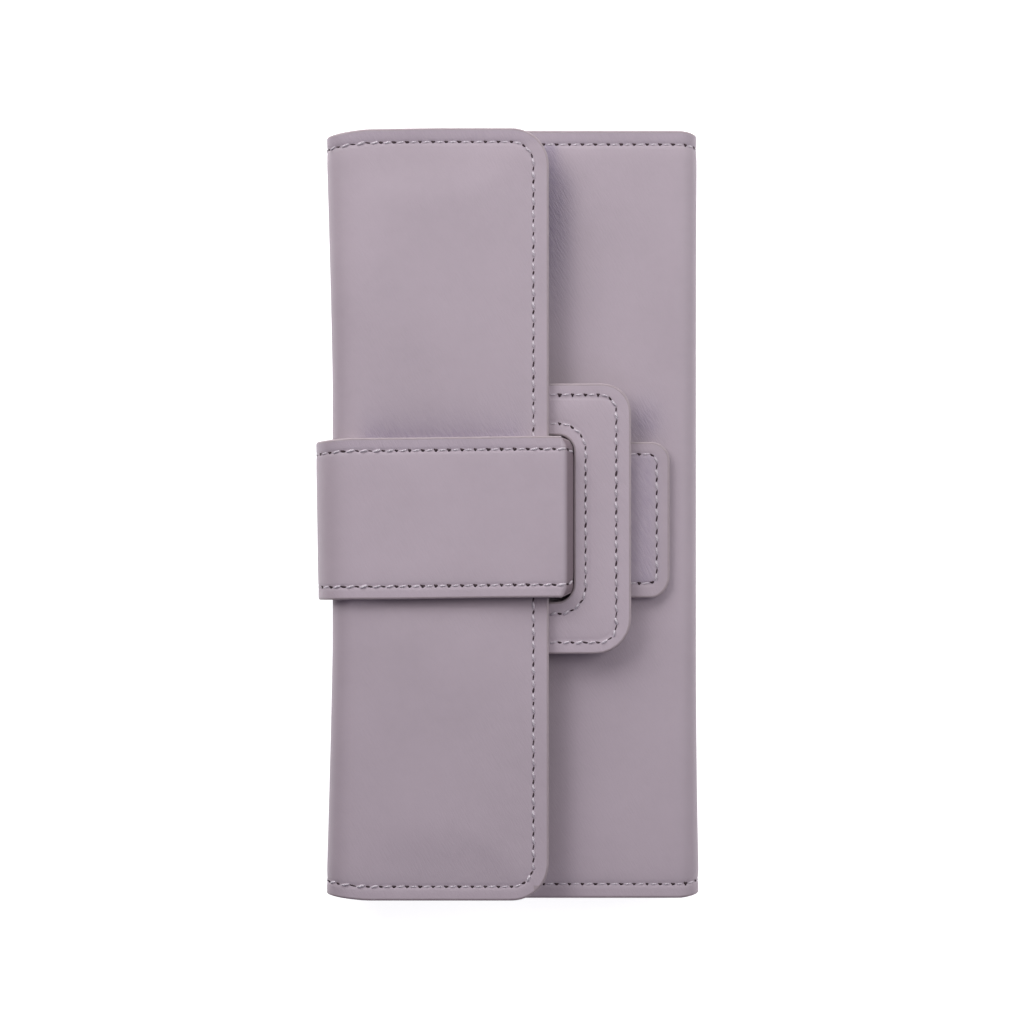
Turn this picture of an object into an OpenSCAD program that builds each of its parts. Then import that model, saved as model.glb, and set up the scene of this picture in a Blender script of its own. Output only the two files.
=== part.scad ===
// Long flap wallet lying on its back, with a strap that passes through a loop
// X runs from the spine to the fold, Y runs along both folds, Z points up out of the table
// The origin is under the middle of the wallet, on the table
// Outer leather is one skin in the real wallet and is divided here where it bends

/* [Body] */
// Length along the spine and the fold
body_l = 190; // [170:1:210]
// Width from the outside of the spine to the outside of the fold
body_w = 90.1; // [84:0.1:100]
// Height of the pouch from the outside of the back to the outside of the front
pouch_h = 11.8; // [11:0.1:16]
// Width of the front panel that shows between the flap and the outside of the fold
front_show = 36.7; // [32:0.1:44]
// Outer radius of the two corners of the spine
corner_r = 5; // [4:0.1:5.6]
// Outer radius of the two corners of the fold
fold_r = 4.5; // [3.5:0.1:5]
// Radius of the free corners of the flap, seen from above
flap_corner_r = 9.2; // [3:0.1:14]
// Radius of the free corners of the front panel, seen from above
front_corner_r = 6; // [2:0.1:12]
// Distance from the outside of the spine to the free edge of the front panel
front_set = 4.6; // [3.6:0.1:8]
// Gap along each line where two panels bend apart
mitre_gap = 0.3; // [0.2:0.05:0.5]

/* [Layers] */
// Thickness of the outer leather
shell_t = 1; // [0.8:0.05:1.3]
// Thickness of the stiffening board
board_t = 0.8; // [0.5:0.05:1]
// Thickness of the fabric lining
lining_t = 0.4; // [0.3:0.05:0.5]
// Thickness of one card pocket strip
pocket_t = 0.5; // [0.3:0.05:0.6]
// Distance from an edge to its row of stitches, which the boards stop at
seam_w = 3.6; // [2.5:0.1:5]
// Distance that a lining is turned in from the edge of its panel
turn_in = 0.8; // [0.4:0.1:1.6]

/* [Strap] */
// Width of the strap
strap_w = 39.7; // [30:0.1:46]
// Width of the strap from its dive through the loop to its end
strap_tip_w = 38; // [28:0.1:40]
// Thickness of the strap, of two equal plies
strap_t = 2; // [1.6:0.1:2.4]
// Offset of the strap from the middle of the wallet
strap_y = -1.1; // [-6:0.1:6]
// Air between the strap and the spine that it goes round
strap_ease = 1.9; // [1:0.1:2.5]
// Distance from the end of the strap to the outside of the fold
strap_end_set = 7.2; // [5:0.1:9]
// Length of the strap that is sewn to the back
strap_back_l = 50; // [30:1:60]
// Radius at mid thickness where the strap dives through the loop
strap_bend_r = 1.8; // [1.7:0.1:2]
// Radius of the corners at the end of the strap
strap_tip_r = 4.8; // [2:0.1:8]

/* [Loop] */
// Length of the loop along the edge of the flap
loop_l = 66.7; // [58:0.1:76]
// Distance that the loop comes out from under the flap
loop_out = 20.3; // [18:0.1:24]
// Depth of the loop that is sewn under the flap
loop_under = 12; // [8:0.5:18]
// Thickness of the loop, of two equal plies
loop_t = 2; // [1.6:0.1:2.4]
// Radius of the outer corners of the loop
loop_r = 8; // [3:0.1:10]
// Length of the slot in the loop
slot_l = 41; // [40:0.1:44]
// Width of the slot in the loop
slot_w = 7.5; // [6.8:0.1:9]
// Distance from the edge of the flap to the bar of the loop
slot_out = 6.15; // [5.6:0.05:7]
// Radius of the corners of the slot beside the bar
slot_r = 3.6; // [2:0.1:4]

/* [Closure] */
// Air between layers that lie on each other and move apart
lay_gap = 0.3; // [0.25:0.05:0.5]
// Diameter of the magnet in the strap
magnet_d = 12; // [8:0.5:16]
// Thickness of the magnet in the strap
magnet_t = 0.7; // [0.5:0.05:0.7]
// Diameter of the steel plate under the front leather
plate_d = 13; // [9:0.5:18]
// Thickness of the steel plate under the front leather
plate_t = 0.4; // [0.3:0.05:0.5]

/* [Inside] */
// Distance from the end of a card pocket strip to the end of the wallet
pocket_end = 7; // [6:0.1:9]
// Width of the seam between the two cards of a strip
pocket_seam_w = 1.2; // [0.8:0.1:2]
// Step between the mouths of two card pockets
pocket_step = 11; // [8:0.5:13]
// Radius of the corners at the mouth of a card pocket
pocket_r = 3; // [1:0.5:5]
// Distance from the spine to the mouth of the first card pocket on the back
pocket_back_set = 22; // [20:0.5:26]
// Distance from the spine to the mouth of the first card pocket on the front
pocket_front_set = 13; // [12:0.5:20]
// Distance from the outside of the fold to the bottom seam of the pockets
pocket_foot = 6.5; // [6:0.5:12]
// Distance from the spine to the free edge of the divider
divider_set = 23; // [22:0.5:30]
// Gap between the end of the divider and the fold of the gusset
divider_end_gap = 0.8; // [0.5:0.1:4]
// Thickness of the divider
divider_t = 1.2; // [0.8:0.1:1.3]
// Distance from the free edge of the divider to the mouth of its pocket
divider_pocket_in = 9; // [5:0.5:20]
// Width of one gusset leaf at the mouth of the pouch
gusset_w = 11; // [6:0.5:12]
// Width of one gusset leaf at the fold
gusset_fold_w = 4.6; // [4.2:0.1:5.8]
// Thickness of the gusset
gusset_t = 0.4; // [0.3:0.05:0.5]
// Distance between the slip pocket inside the flap and the loop
slip_pocket_gap = 6.4; // [2:0.1:16]

/* [Zip] */
// Distance from the outside of the spine to the middle of the zip
zip_set = 12.1; // [11.8:0.1:13]
// Distance from the end of the zip to the fold of the gusset
zip_end_gap = 5.8; // [3:0.1:20]
// Width of the window in the lining that the zip fills
zip_w = 10; // [9:0.1:11]
// Thickness of the zip tape
tape_t = 0.3; // [0.2:0.05:0.3]
// Slit between the two tapes
tape_slit = 1; // [0.8:0.1:1.4]
// Pitch of the teeth on one tape
tooth_pitch = 2.8; // [2.4:0.1:3.4]
// Width of one tooth along the zip
tooth_w = 1.1; // [0.9:0.05:1.15]
// Length of one tooth across the zip
tooth_l = 2.7; // [2.4:0.1:2.8]
// Height of one tooth
tooth_h = 1; // [0.8:0.05:1.2]
// Length of the zip's slider
slider_l = 9; // [7.5:0.5:11]
// Thickness of the plate and the flanges of the slider
slider_t = 0.8; // [0.6:0.05:0.9]
// Height of the opening under the bridge of the slider
bridge_h = 1.3; // [1.2:0.05:1.4]
// Distance between the two posts of the bridge
bridge_l = 4.4; // [4.2:0.1:5]
// Radius of a post of the bridge
post_r = 0.55; // [0.45:0.05:0.6]
// Thickness of the bar of the bridge
bridge_t = 0.5; // [0.4:0.05:0.6]
// Length of the puller from its pivot to its end
pull_l = 14; // [10:0.5:16]
// Width of the puller at its free end
pull_w = 4.6; // [3.8:0.1:5.5]
// Thickness of the puller
pull_t = 0.7; // [0.5:0.05:0.7]
// Thickness of the flat coin bag under the zip
coin_bag_t = 1; // [0.8:0.05:1.2]
// Distance from the end of the coin bag to the end of the wallet
coin_bag_end = 11; // [5:0.5:12]

/* [Hidden] */
$fn = 64;
overrun = 1;
ply_t = strap_t / 2;
loop_ply_t = loop_t / 2;

// Places across the wallet
strap_bulge = strap_t + strap_ease;
fold_x = (body_w + strap_bulge) / 2;
spine_x = fold_x - body_w;
bend_x = spine_x + corner_r;
fold_bend_x = fold_x - fold_r;
front_x = spine_x + front_set;
flap_x = fold_x - front_show;

// Levels from the table up
back_z = strap_t;
back_board_z = back_z + shell_t;
bag_z = back_board_z + board_t;
back_lining_z = bag_z + coin_bag_t;
back_pocket_z = back_lining_z + lining_t;
front_top_z = back_z + pouch_h;
front_shell_z = front_top_z - shell_t;
front_board_z = front_shell_z - board_t;
front_lining_z = front_board_z - lining_t;
tip_z = front_top_z + lay_gap;
loop_z = tip_z + strap_t + lay_gap;
flap_z = loop_z + loop_t;
flap_board_z = flap_z + lining_t;
flap_shell_z = flap_board_z + board_t;
flap_top_z = flap_shell_z + shell_t;
strap_top_z = flap_top_z + strap_t;

// Bends of the spine and of the strap round it
low_bend = [bend_x, back_z + corner_r];
high_bend = [bend_x, flap_top_z - corner_r];
strap_r = corner_r + strap_bulge;
low_strap_bend = [bend_x, strap_r];
high_strap_bend = [bend_x, strap_top_z - strap_r];
low_fold_bend = [fold_bend_x, back_z + fold_r];
high_fold_bend = [fold_bend_x, front_top_z - fold_r];
reach = body_w;

// Directions of the lines where the bends are cut
low_mitre_angle = 225;
high_mitre_angle = 135;
fold_low_mitre_angle = -45;
fold_high_mitre_angle = 45;

// Dive of the strap through the loop, at mid thickness
slot_x = flap_x + slot_out;
bar_tuck = 0.1;
dive_foot_x = slot_x - bar_tuck;
dive_head_x = dive_foot_x - 2 * strap_bend_r;
dive_x = dive_head_x + strap_bend_r;
run_neutral_z = flap_top_z + ply_t;
tip_neutral_z = tip_z + ply_t;
tip_x = fold_x - strap_end_set;
loop_x = flap_x + loop_out;
magnet_x = (dive_foot_x + tip_x) / 2;
magnet_gap = 0.1;

// Pockets, divider and gusset
back_pockets = 3;
front_pockets = 2;
pocket_l = body_l - 2 * pocket_end;
back_pockets_top_z = back_pocket_z + back_pockets * pocket_t;
front_pockets_z = front_lining_z - front_pockets * pocket_t;
pocket_foot_x = fold_x - pocket_foot;
divider_h = divider_t + pocket_t;
divider_z = (back_pockets_top_z + front_pockets_z - divider_h) / 2;
divider_x = spine_x + divider_set;
divider_foot_x = fold_x - shell_t - lining_t - lay_gap;
divider_r = 6;
slip_pocket_x = flap_x - loop_under - slip_pocket_gap;
leaf_air = 0.2;
leaf_seam_y = body_l / 2 - turn_in;
leaf_rise_y = pocket_l / 2 + leaf_air;
leaf_apex_y = leaf_rise_y + gusset_fold_w - gusset_w;
divider_l = 2 * (leaf_apex_y - divider_end_gap);
back_leaf_z = back_pockets_top_z + leaf_air;
front_leaf_z = front_pockets_z - leaf_air - gusset_t;

// Zip
zip_x = spine_x + zip_set;
zip_l = 2 * (leaf_apex_y - zip_end_gap);
tape_z = back_lining_z;
tooth_z = tape_z + tape_t;
tooth_overlap = 0.6;
tooth_count = floor((zip_l - 2 * seam_w) / tooth_pitch);
teeth_l = tooth_count * tooth_pitch;
stop_w = 4.6;
stop_l = 1.6;
slider_z = tooth_z + tooth_h + lay_gap;
flange_x = tooth_l - tooth_overlap + lay_gap;
flange_z = tooth_z + lay_gap;
slider_y = teeth_l / 2 - slider_l / 2 - stop_l;
slider_r = 1.5;
bridge_z = slider_z + slider_t;
pivot_y = slider_y - bridge_l / 2;
pull_ring_r = 1.9;
pull_hole_r = post_r + lay_gap + magnet_gap;
pull_z = bridge_z + (bridge_h - pull_t) / 2;
bag_x0 = zip_x - zip_w / 2;
coin_bag_l = body_l - 2 * coin_bag_end;

// Colours
leather = [0.68, 0.63, 0.67];
leather_dark = [0.58, 0.52, 0.57];
leather_light = [0.74, 0.68, 0.72];
fabric = [0.52, 0.47, 0.52];
board_grey = [0.60, 0.58, 0.55];
pocket_tint = [0.71, 0.65, 0.69];
metal = [0.80, 0.78, 0.74];
tape_tint = [0.46, 0.41, 0.46];

// Extrusion along Y of a section drawn in X and Z
module along_y(l, y = 0) {
  translate([0, y, 0])
    rotate([90, 0, 0])
      linear_extrude(height = l, center = true)
        children();
}

// Extrusion along X of a section drawn in Y and Z
module along_x(x0, x1) {
  translate([x0, 0, 0])
    rotate([90, 0, 90])
      linear_extrude(height = x1 - x0)
        children();
}

// Sheet of thickness t at level z with a given outline
module sheet_at(z, t) {
  translate([0, 0, z])
    linear_extrude(height = t)
      children();
}

// Rectangle between two corners
module rect(x0, x1, y0, y1) {
  translate([x0, y0])
    square([x1 - x0, y1 - y0]);
}

// Outline from x0 to x1, w wide about y, with round corners at x1 only
module tongue(x0, x1, w, r, y = 0) {
  translate([0, y]) {
    rect(x0, x1 - r, -w / 2, w / 2);
    rect(x0, x1, -w / 2 + r, w / 2 - r);
    for (side = [-1, 1]) {
      translate([x1 - r, side * (w / 2 - r)])
        circle(r);
    }
  }
}

// The same outline with its round corners at x0
module tongue_left(x0, x1, w, r, y = 0) {
  mirror([1, 0])
    tongue(-x1, -x0, w, r, y);
}

// Quarter of a ring about c, which begins at angle a
module ring_quarter(c, r_in, r_out, a) {
  translate(c)
    rotate(a)
      intersection() {
        difference() {
          circle(r_out);
          circle(r_in);
        }
        square(r_out);
      }
}

// One side of the mitre line that leaves c at angle a, left of the line when side is 1
module mitre_side(c, a, side) {
  translate(c)
    rotate(a)
      rect(-reach, reach, side > 0 ? mitre_gap / 2 : -reach, side > 0 ? reach : -mitre_gap / 2);
}

// Bend quarter of a skin cut at its mitre line
module half_bend(c, r_in, r_out, quarter_a, mitre_c, mitre_a, side) {
  intersection() {
    ring_quarter(c, r_in, r_out, quarter_a);
    mitre_side(mitre_c, mitre_a, side);
  }
}

// Outline of a flap layer that stops short of the flap's edges
module flap_outline(inset) {
  tongue(bend_x, flap_x - inset, body_l - 2 * inset, flap_corner_r - inset);
}

// Outline of a front layer that stops short of the panel's free edges
module front_outline(inset, x1) {
  tongue_left(front_x + inset, x1, body_l - 2 * inset, front_corner_r - inset);
}

// Strap section from its upper bend to its tip, between two offsets from mid thickness
module strap_section(lo, hi) {
  rect(bend_x, dive_head_x, run_neutral_z + lo, run_neutral_z + hi);
  ring_quarter([dive_head_x, run_neutral_z - strap_bend_r], strap_bend_r + lo, strap_bend_r + hi, 0);
  rect(dive_x + lo, dive_x + hi, tip_neutral_z + strap_bend_r, run_neutral_z - strap_bend_r);
  ring_quarter([dive_foot_x, tip_neutral_z + strap_bend_r], strap_bend_r - hi, strap_bend_r - lo, 180);
  rect(dive_foot_x, tip_x, tip_neutral_z + lo, tip_neutral_z + hi);
  half_bend(high_strap_bend, strap_r - ply_t + lo, strap_r - ply_t + hi, 90, high_bend, high_mitre_angle, -1);
}

// Outline of the strap seen from above
module strap_outline() {
  rect(spine_x - strap_bulge, dive_head_x, strap_y - strap_w / 2, strap_y + strap_w / 2);
  tongue(dive_head_x, tip_x, strap_tip_w, strap_tip_r, strap_y);
}

module strap_ply(lo, hi) {
  intersection() {
    along_y(strap_w, strap_y)
      strap_section(lo, hi);
    sheet_at(0, strap_top_z + overrun)
      strap_outline();
  }
}

// Two pockets side by side in one strip, open towards the spine
module card_strip(x0, z) {
  column_l = (pocket_l - pocket_seam_w) / 2;
  for (side = [-1, 1]) {
    sheet_at(z, pocket_t)
      tongue_left(x0, pocket_foot_x, column_l, pocket_r, side * (column_l + pocket_seam_w) / 2);
  }
}

// Outline of a gusset leaf, wide at the mouth and narrow at the fold
module leaf_outline() {
  polygon([
    [front_x + turn_in, leaf_apex_y],
    [fold_bend_x, leaf_rise_y],
    [fold_bend_x, leaf_seam_y],
    [front_x + turn_in, leaf_seam_y]
  ]);
}

// Section of a gusset leaf from its seam at seam_z to its level part at leaf_z
module leaf_section(seam_z, leaf_z) {
  low = min(seam_z, leaf_z);
  high = max(seam_z, leaf_z) + gusset_t;
  rect(leaf_rise_y, leaf_seam_y, seam_z, seam_z + gusset_t);
  rect(leaf_rise_y, leaf_rise_y + gusset_t, low, high);
  rect(leaf_apex_y, leaf_rise_y + gusset_t, leaf_z, leaf_z + gusset_t);
}

module gusset_leaves(seam_z, leaf_z) {
  for (side = [0, 1]) {
    mirror([0, side, 0])
      intersection() {
        along_x(front_x, fold_x)
          leaf_section(seam_z, leaf_z);
        sheet_at(0, strap_top_z)
          leaf_outline();
      }
  }
}

// Back panel with its half of the lower spine bend
module shell_back() {
  color(leather)
    along_y(body_l) {
      rect(bend_x, fold_bend_x, back_z, back_z + shell_t);
      half_bend(low_bend, corner_r - shell_t, corner_r, 180, low_bend, low_mitre_angle, 1);
    }
}

// Fold opposite the spine, with its half of the upper bend
module shell_fold() {
  color(leather)
    along_y(body_l) {
      ring_quarter(low_fold_bend, fold_r - shell_t, fold_r, 270);
      rect(fold_x - shell_t, fold_x, low_fold_bend[1], high_fold_bend[1]);
      half_bend(high_fold_bend, fold_r - shell_t, fold_r, 0, high_fold_bend, fold_high_mitre_angle, -1);
    }
}

module lining_fold() {
  skin_r = fold_r - shell_t;
  color(fabric)
    along_y(body_l - 2 * turn_in) {
      rect(fold_x - shell_t - lining_t, fold_x - shell_t, low_fold_bend[1], high_fold_bend[1]);
      half_bend(low_fold_bend, skin_r - lining_t, skin_r, 270, low_fold_bend, fold_low_mitre_angle, 1);
      half_bend(high_fold_bend, skin_r - lining_t, skin_r, 0, high_fold_bend, fold_high_mitre_angle, -1);
    }
}

module board_back() {
  color(board_grey)
    sheet_at(back_board_z, board_t)
      rect(bend_x, fold_bend_x, -body_l / 2 + seam_w, body_l / 2 - seam_w);
}

// Flat bag of two plies with its mouth under the zip
module coin_bag() {
  color(fabric)
    difference() {
      sheet_at(bag_z, coin_bag_t)
        rect(bag_x0, fold_bend_x - seam_w, -coin_bag_l / 2, coin_bag_l / 2);
      sheet_at(bag_z + coin_bag_t / 2, coin_bag_t)
        rect(zip_x - flange_x, zip_x + flange_x, -teeth_l / 2, teeth_l / 2);
    }
}

module lining_back() {
  color(fabric)
    sheet_at(back_lining_z, lining_t)
      difference() {
        rect(bend_x, fold_bend_x, -body_l / 2 + turn_in, body_l / 2 - turn_in);
        rect(zip_x - zip_w / 2, zip_x + zip_w / 2, -zip_l / 2, zip_l / 2);
      }
}

module zip_tapes() {
  color(tape_tint)
    sheet_at(tape_z, tape_t)
      for (side = [0, 1]) {
        translate([zip_x, 0])
          mirror([side, 0])
            rect(tape_slit / 2, zip_w / 2, -zip_l / 2, zip_l / 2);
      }
}

// Two rows of teeth that mesh along the slit
module zip_teeth() {
  color(metal)
    for (i = [0 : tooth_count - 1], side = [0, 1]) {
      translate([zip_x, -teeth_l / 2 + (i + side / 2) * tooth_pitch, tooth_z])
        mirror([side, 0, 0])
          translate([-tooth_overlap, 0, 0])
            cube([tooth_l, tooth_w, tooth_h]);
    }
}

module zip_stops() {
  color(metal)
    for (side = [-1, 1]) {
      translate([zip_x - stop_w / 2, side * (teeth_l / 2 + stop_l) - stop_l / 2, tooth_z])
        cube([stop_w, stop_l, tooth_h]);
    }
}

// Slider over the teeth with the bridge that holds the puller
module zip_slider() {
  color(metal)
    translate([zip_x, slider_y, 0]) {
      intersection() {
        along_y(slider_l) {
          rect(-flange_x - slider_t, flange_x + slider_t, slider_z, bridge_z);
          rect(-flange_x - slider_t, -flange_x, flange_z, bridge_z);
          rect(flange_x, flange_x + slider_t, flange_z, bridge_z);
        }
        sheet_at(flange_z, bridge_z)
          rotate(90)
            tongue(-slider_l / 2, slider_l / 2, 2 * (flange_x + slider_t), slider_r);
      }
      for (side = [-1, 1]) {
        translate([0, side * bridge_l / 2, bridge_z])
          cylinder(r = post_r, h = bridge_h);
      }
      sheet_at(bridge_z + bridge_h, bridge_t) {
        rect(-post_r, post_r, -bridge_l / 2, bridge_l / 2);
        for (side = [-1, 1]) {
          translate([0, side * bridge_l / 2])
            circle(post_r);
        }
      }
    }
}

// Puller with a ring that turns on the rear post of the bridge
module zip_pull() {
  color(metal)
    translate([zip_x, pivot_y, 0])
      sheet_at(pull_z, pull_t)
        difference() {
          union() {
            circle(pull_ring_r);
            polygon([
              [-pull_ring_r, 0],
              [-pull_w / 2, pull_w / 2 - pull_l],
              [pull_w / 2, pull_w / 2 - pull_l],
              [pull_ring_r, 0]
            ]);
            translate([0, pull_w / 2 - pull_l])
              circle(pull_w / 2);
          }
          circle(pull_hole_r);
          translate([0, pull_w / 2 - pull_l])
            circle(pull_w / 4);
        }
}

module card_pocket_back(i) {
  color(i % 2 == 0 ? pocket_tint : leather_light)
    card_strip(spine_x + pocket_back_set + i * pocket_step, back_pocket_z + i * pocket_t);
}

module card_pocket_front(i) {
  color(i % 2 == 0 ? pocket_tint : leather_light)
    card_strip(spine_x + pocket_front_set + i * pocket_step, front_lining_z - (i + 1) * pocket_t);
}

module gusset_leaf_back() {
  color(fabric)
    gusset_leaves(back_pocket_z, back_leaf_z);
}

module gusset_leaf_front() {
  color(fabric)
    gusset_leaves(front_lining_z - gusset_t, front_leaf_z);
}

module divider_panel() {
  color(leather_dark)
    sheet_at(divider_z, divider_t)
      tongue_left(divider_x, divider_foot_x, divider_l, divider_r);
}

module divider_pocket() {
  color(pocket_tint)
    sheet_at(divider_z + divider_t, pocket_t)
      tongue_left(divider_x + divider_pocket_in, divider_foot_x - seam_w, divider_l - 2 * turn_in, pocket_r);
}

// Front panel with its half of the fold's upper bend
module shell_front() {
  color(leather)
    intersection() {
      along_y(body_l) {
        rect(front_x, fold_bend_x, front_shell_z, front_top_z);
        half_bend(high_fold_bend, fold_r - shell_t, fold_r, 0, high_fold_bend, fold_high_mitre_angle, 1);
      }
      sheet_at(0, front_top_z + overrun)
        front_outline(0, fold_x);
    }
}

module board_front() {
  color(board_grey)
    difference() {
      sheet_at(front_board_z, board_t)
        front_outline(seam_w, fold_bend_x);
      translate([magnet_x, strap_y, front_shell_z - plate_t])
        cylinder(d = plate_d + 2 * magnet_gap, h = plate_t + overrun);
    }
}

module lining_front() {
  color(fabric)
    sheet_at(front_lining_z, lining_t)
      front_outline(turn_in, fold_bend_x);
}

module snap_plate() {
  color(metal)
    translate([magnet_x, strap_y, front_shell_z - plate_t])
      cylinder(d = plate_d, h = plate_t);
}

// Web of the spine with its halves of both bends
module shell_spine() {
  color(leather)
    along_y(body_l) {
      rect(spine_x, spine_x + shell_t, low_bend[1], high_bend[1]);
      half_bend(low_bend, corner_r - shell_t, corner_r, 180, low_bend, low_mitre_angle, -1);
      half_bend(high_bend, corner_r - shell_t, corner_r, 90, high_bend, high_mitre_angle, 1);
    }
}

module board_spine() {
  color(board_grey)
    along_y(body_l - 2 * seam_w)
      rect(spine_x + shell_t, spine_x + shell_t + board_t, low_bend[1], high_bend[1]);
}

module lining_spine() {
  board_x = spine_x + shell_t + board_t;
  color(fabric)
    along_y(body_l - 2 * turn_in)
      rect(board_x, board_x + lining_t, low_bend[1], high_bend[1]);
}

// Flap with its half of the spine's upper bend
module shell_flap() {
  color(leather)
    union() {
      sheet_at(flap_shell_z, shell_t)
        flap_outline(0);
      along_y(body_l)
        half_bend(high_bend, corner_r - shell_t, corner_r, 90, high_bend, high_mitre_angle, -1);
    }
}

module board_flap() {
  color(board_grey)
    sheet_at(flap_board_z, board_t)
      flap_outline(seam_w);
}

module lining_flap() {
  color(fabric)
    sheet_at(flap_z, lining_t)
      flap_outline(turn_in);
}

module flap_slip_pocket() {
  color(pocket_tint)
    sheet_at(flap_z - pocket_t, pocket_t)
      tongue(bend_x, slip_pocket_x, body_l - 2 * seam_w, pocket_r);
}

// One ply of the loop, with the slot that the strap passes through
module loop_ply(z) {
  sheet_at(z, loop_ply_t)
    difference() {
      tongue(flap_x - loop_under, loop_x, loop_l, loop_r, strap_y);
      tongue(slot_x - slot_w, slot_x, slot_l, slot_r, strap_y);
    }
}

module loop_outer() {
  color(leather_light)
    loop_ply(loop_z + loop_ply_t);
}

module loop_lining() {
  color(leather_dark)
    loop_ply(loop_z);
}

// Strap under the back, with its half of the lower bend
module strap_back_run() {
  color(leather_light)
    along_y(strap_w, strap_y) {
      rect(bend_x, bend_x + strap_back_l, 0, strap_t);
      half_bend(low_strap_bend, strap_r - strap_t, strap_r, 180, low_bend, low_mitre_angle, 1);
    }
}

// Strap round the spine, with its halves of both bends
module strap_spine() {
  color(leather_light)
    along_y(strap_w, strap_y) {
      rect(bend_x - strap_r, bend_x - strap_r + strap_t, low_strap_bend[1], high_strap_bend[1]);
      half_bend(low_strap_bend, strap_r - strap_t, strap_r, 180, low_bend, low_mitre_angle, -1);
      half_bend(high_strap_bend, strap_r - strap_t, strap_r, 90, high_bend, high_mitre_angle, 1);
    }
}

module strap_top_outer() {
  color(leather_light)
    difference() {
      strap_ply(0, ply_t);
      translate([magnet_x, strap_y, tip_neutral_z - overrun])
        cylinder(d = magnet_d + 2 * magnet_gap, h = magnet_t + overrun);
    }
}

module strap_top_lining() {
  color(leather_dark)
    strap_ply(-ply_t, 0);
}

module snap_magnet() {
  color(metal)
    translate([magnet_x, strap_y, tip_neutral_z])
      cylinder(d = magnet_d, h = magnet_t);
}

shell_back();
shell_fold();
lining_fold();
board_back();
coin_bag();
lining_back();
zip_tapes();
zip_teeth();
zip_stops();
zip_slider();
zip_pull();
card_pocket_back(0);  // card_pocket_back_1
card_pocket_back(1);  // card_pocket_back_2
card_pocket_back(2);  // card_pocket_back_3
gusset_leaf_back();
gusset_leaf_front();
divider_panel();
divider_pocket();
shell_front();
board_front();
lining_front();
snap_plate();
card_pocket_front(0);  // card_pocket_front_1
card_pocket_front(1);  // card_pocket_front_2
shell_spine();
board_spine();
lining_spine();
shell_flap();
board_flap();
lining_flap();
flap_slip_pocket();
loop_outer();
loop_lining();
strap_back_run();
strap_spine();
strap_top_outer();
strap_top_lining();
snap_magnet();
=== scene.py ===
"""Looks of a long flap wallet: leather skins, strap, loop, thread, linings and zip.

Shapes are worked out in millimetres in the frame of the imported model. A sheet of leather is
drawn flat, as s along its path and y across it, and is then laid along the path with a height h.
"""
import math

import bpy
import numpy as np
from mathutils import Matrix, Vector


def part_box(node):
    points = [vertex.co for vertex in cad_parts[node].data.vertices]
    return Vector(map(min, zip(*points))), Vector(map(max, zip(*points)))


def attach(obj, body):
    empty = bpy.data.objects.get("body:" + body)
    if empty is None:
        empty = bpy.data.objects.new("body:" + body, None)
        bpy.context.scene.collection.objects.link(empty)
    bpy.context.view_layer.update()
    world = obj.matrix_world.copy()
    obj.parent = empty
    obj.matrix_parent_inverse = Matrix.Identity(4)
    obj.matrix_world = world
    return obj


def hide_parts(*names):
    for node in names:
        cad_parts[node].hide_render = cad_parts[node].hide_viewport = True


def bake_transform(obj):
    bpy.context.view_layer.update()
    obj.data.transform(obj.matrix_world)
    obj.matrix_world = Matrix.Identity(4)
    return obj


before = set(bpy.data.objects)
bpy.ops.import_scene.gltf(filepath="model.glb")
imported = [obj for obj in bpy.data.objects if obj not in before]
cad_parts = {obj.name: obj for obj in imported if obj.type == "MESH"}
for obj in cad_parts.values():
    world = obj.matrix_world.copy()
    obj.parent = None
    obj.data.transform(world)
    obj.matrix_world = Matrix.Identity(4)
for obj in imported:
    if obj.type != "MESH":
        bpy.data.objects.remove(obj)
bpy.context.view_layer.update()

MM = 0.001
X, Y, Z = range(3)


def low(node):
    """Lowest corner of a CAD node, in millimetres."""
    return np.array(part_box(node)[0]) / MM


def high(node):
    """Highest corner of a CAD node, in millimetres."""
    return np.array(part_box(node)[1]) / MM


# Body, from the frame
HALF_L = high("shell_flap")[Y]
SPINE_X = low("shell_spine")[X]
FOLD_X = high("shell_fold")[X]
BEND_X = low("board_back")[X]
FOLD_BEND_X = high("board_back")[X]
FRONT_X = low("shell_front")[X]
FLAP_X = high("shell_flap")[X]
BACK_Z = low("shell_back")[Z]
FRONT_Z = high("shell_front")[Z]
FLAP_Z = high("shell_flap")[Z]
CORNER_R = BEND_X - SPINE_X
FOLD_R = FOLD_X - FOLD_BEND_X
SHELL_T = low("board_back")[Z] - BACK_Z
BOARD_T = high("board_back")[Z] - low("board_back")[Z]
LINING_T = high("lining_back")[Z] - low("lining_back")[Z]
LINING_DEPTH = low("lining_back")[Z] - BACK_Z
SEAM_W = HALF_L - high("board_back")[Y]
TURN_IN = HALF_L - high("lining_back")[Y]

# Strap and loop, from the frame
STRAP_LEFT = low("strap_spine")[X]
STRAP_LOW_Y = low("strap_spine")[Y]
STRAP_HIGH_Y = high("strap_spine")[Y]
STRAP_Y = (STRAP_LOW_Y + STRAP_HIGH_Y) / 2
STRAP_HALF = STRAP_HIGH_Y - STRAP_Y
STRAP_TOP_Z = high("strap_top_outer")[Z]
STRAP_END_X = high("strap_back_run")[X]
PLY_T = STRAP_TOP_Z - high("strap_top_lining")[Z]
STRAP_R = BEND_X - STRAP_LEFT
TIP_X = high("strap_top_outer")[X]
TIP_Z = low("strap_top_lining")[Z]
MAGNET_X = high("snap_magnet")[X]
LOOP_LOW = low("loop_outer")
LOOP_HIGH = high("loop_outer")
LOOP_BOTTOM_Z = low("loop_lining")[Z]

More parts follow.
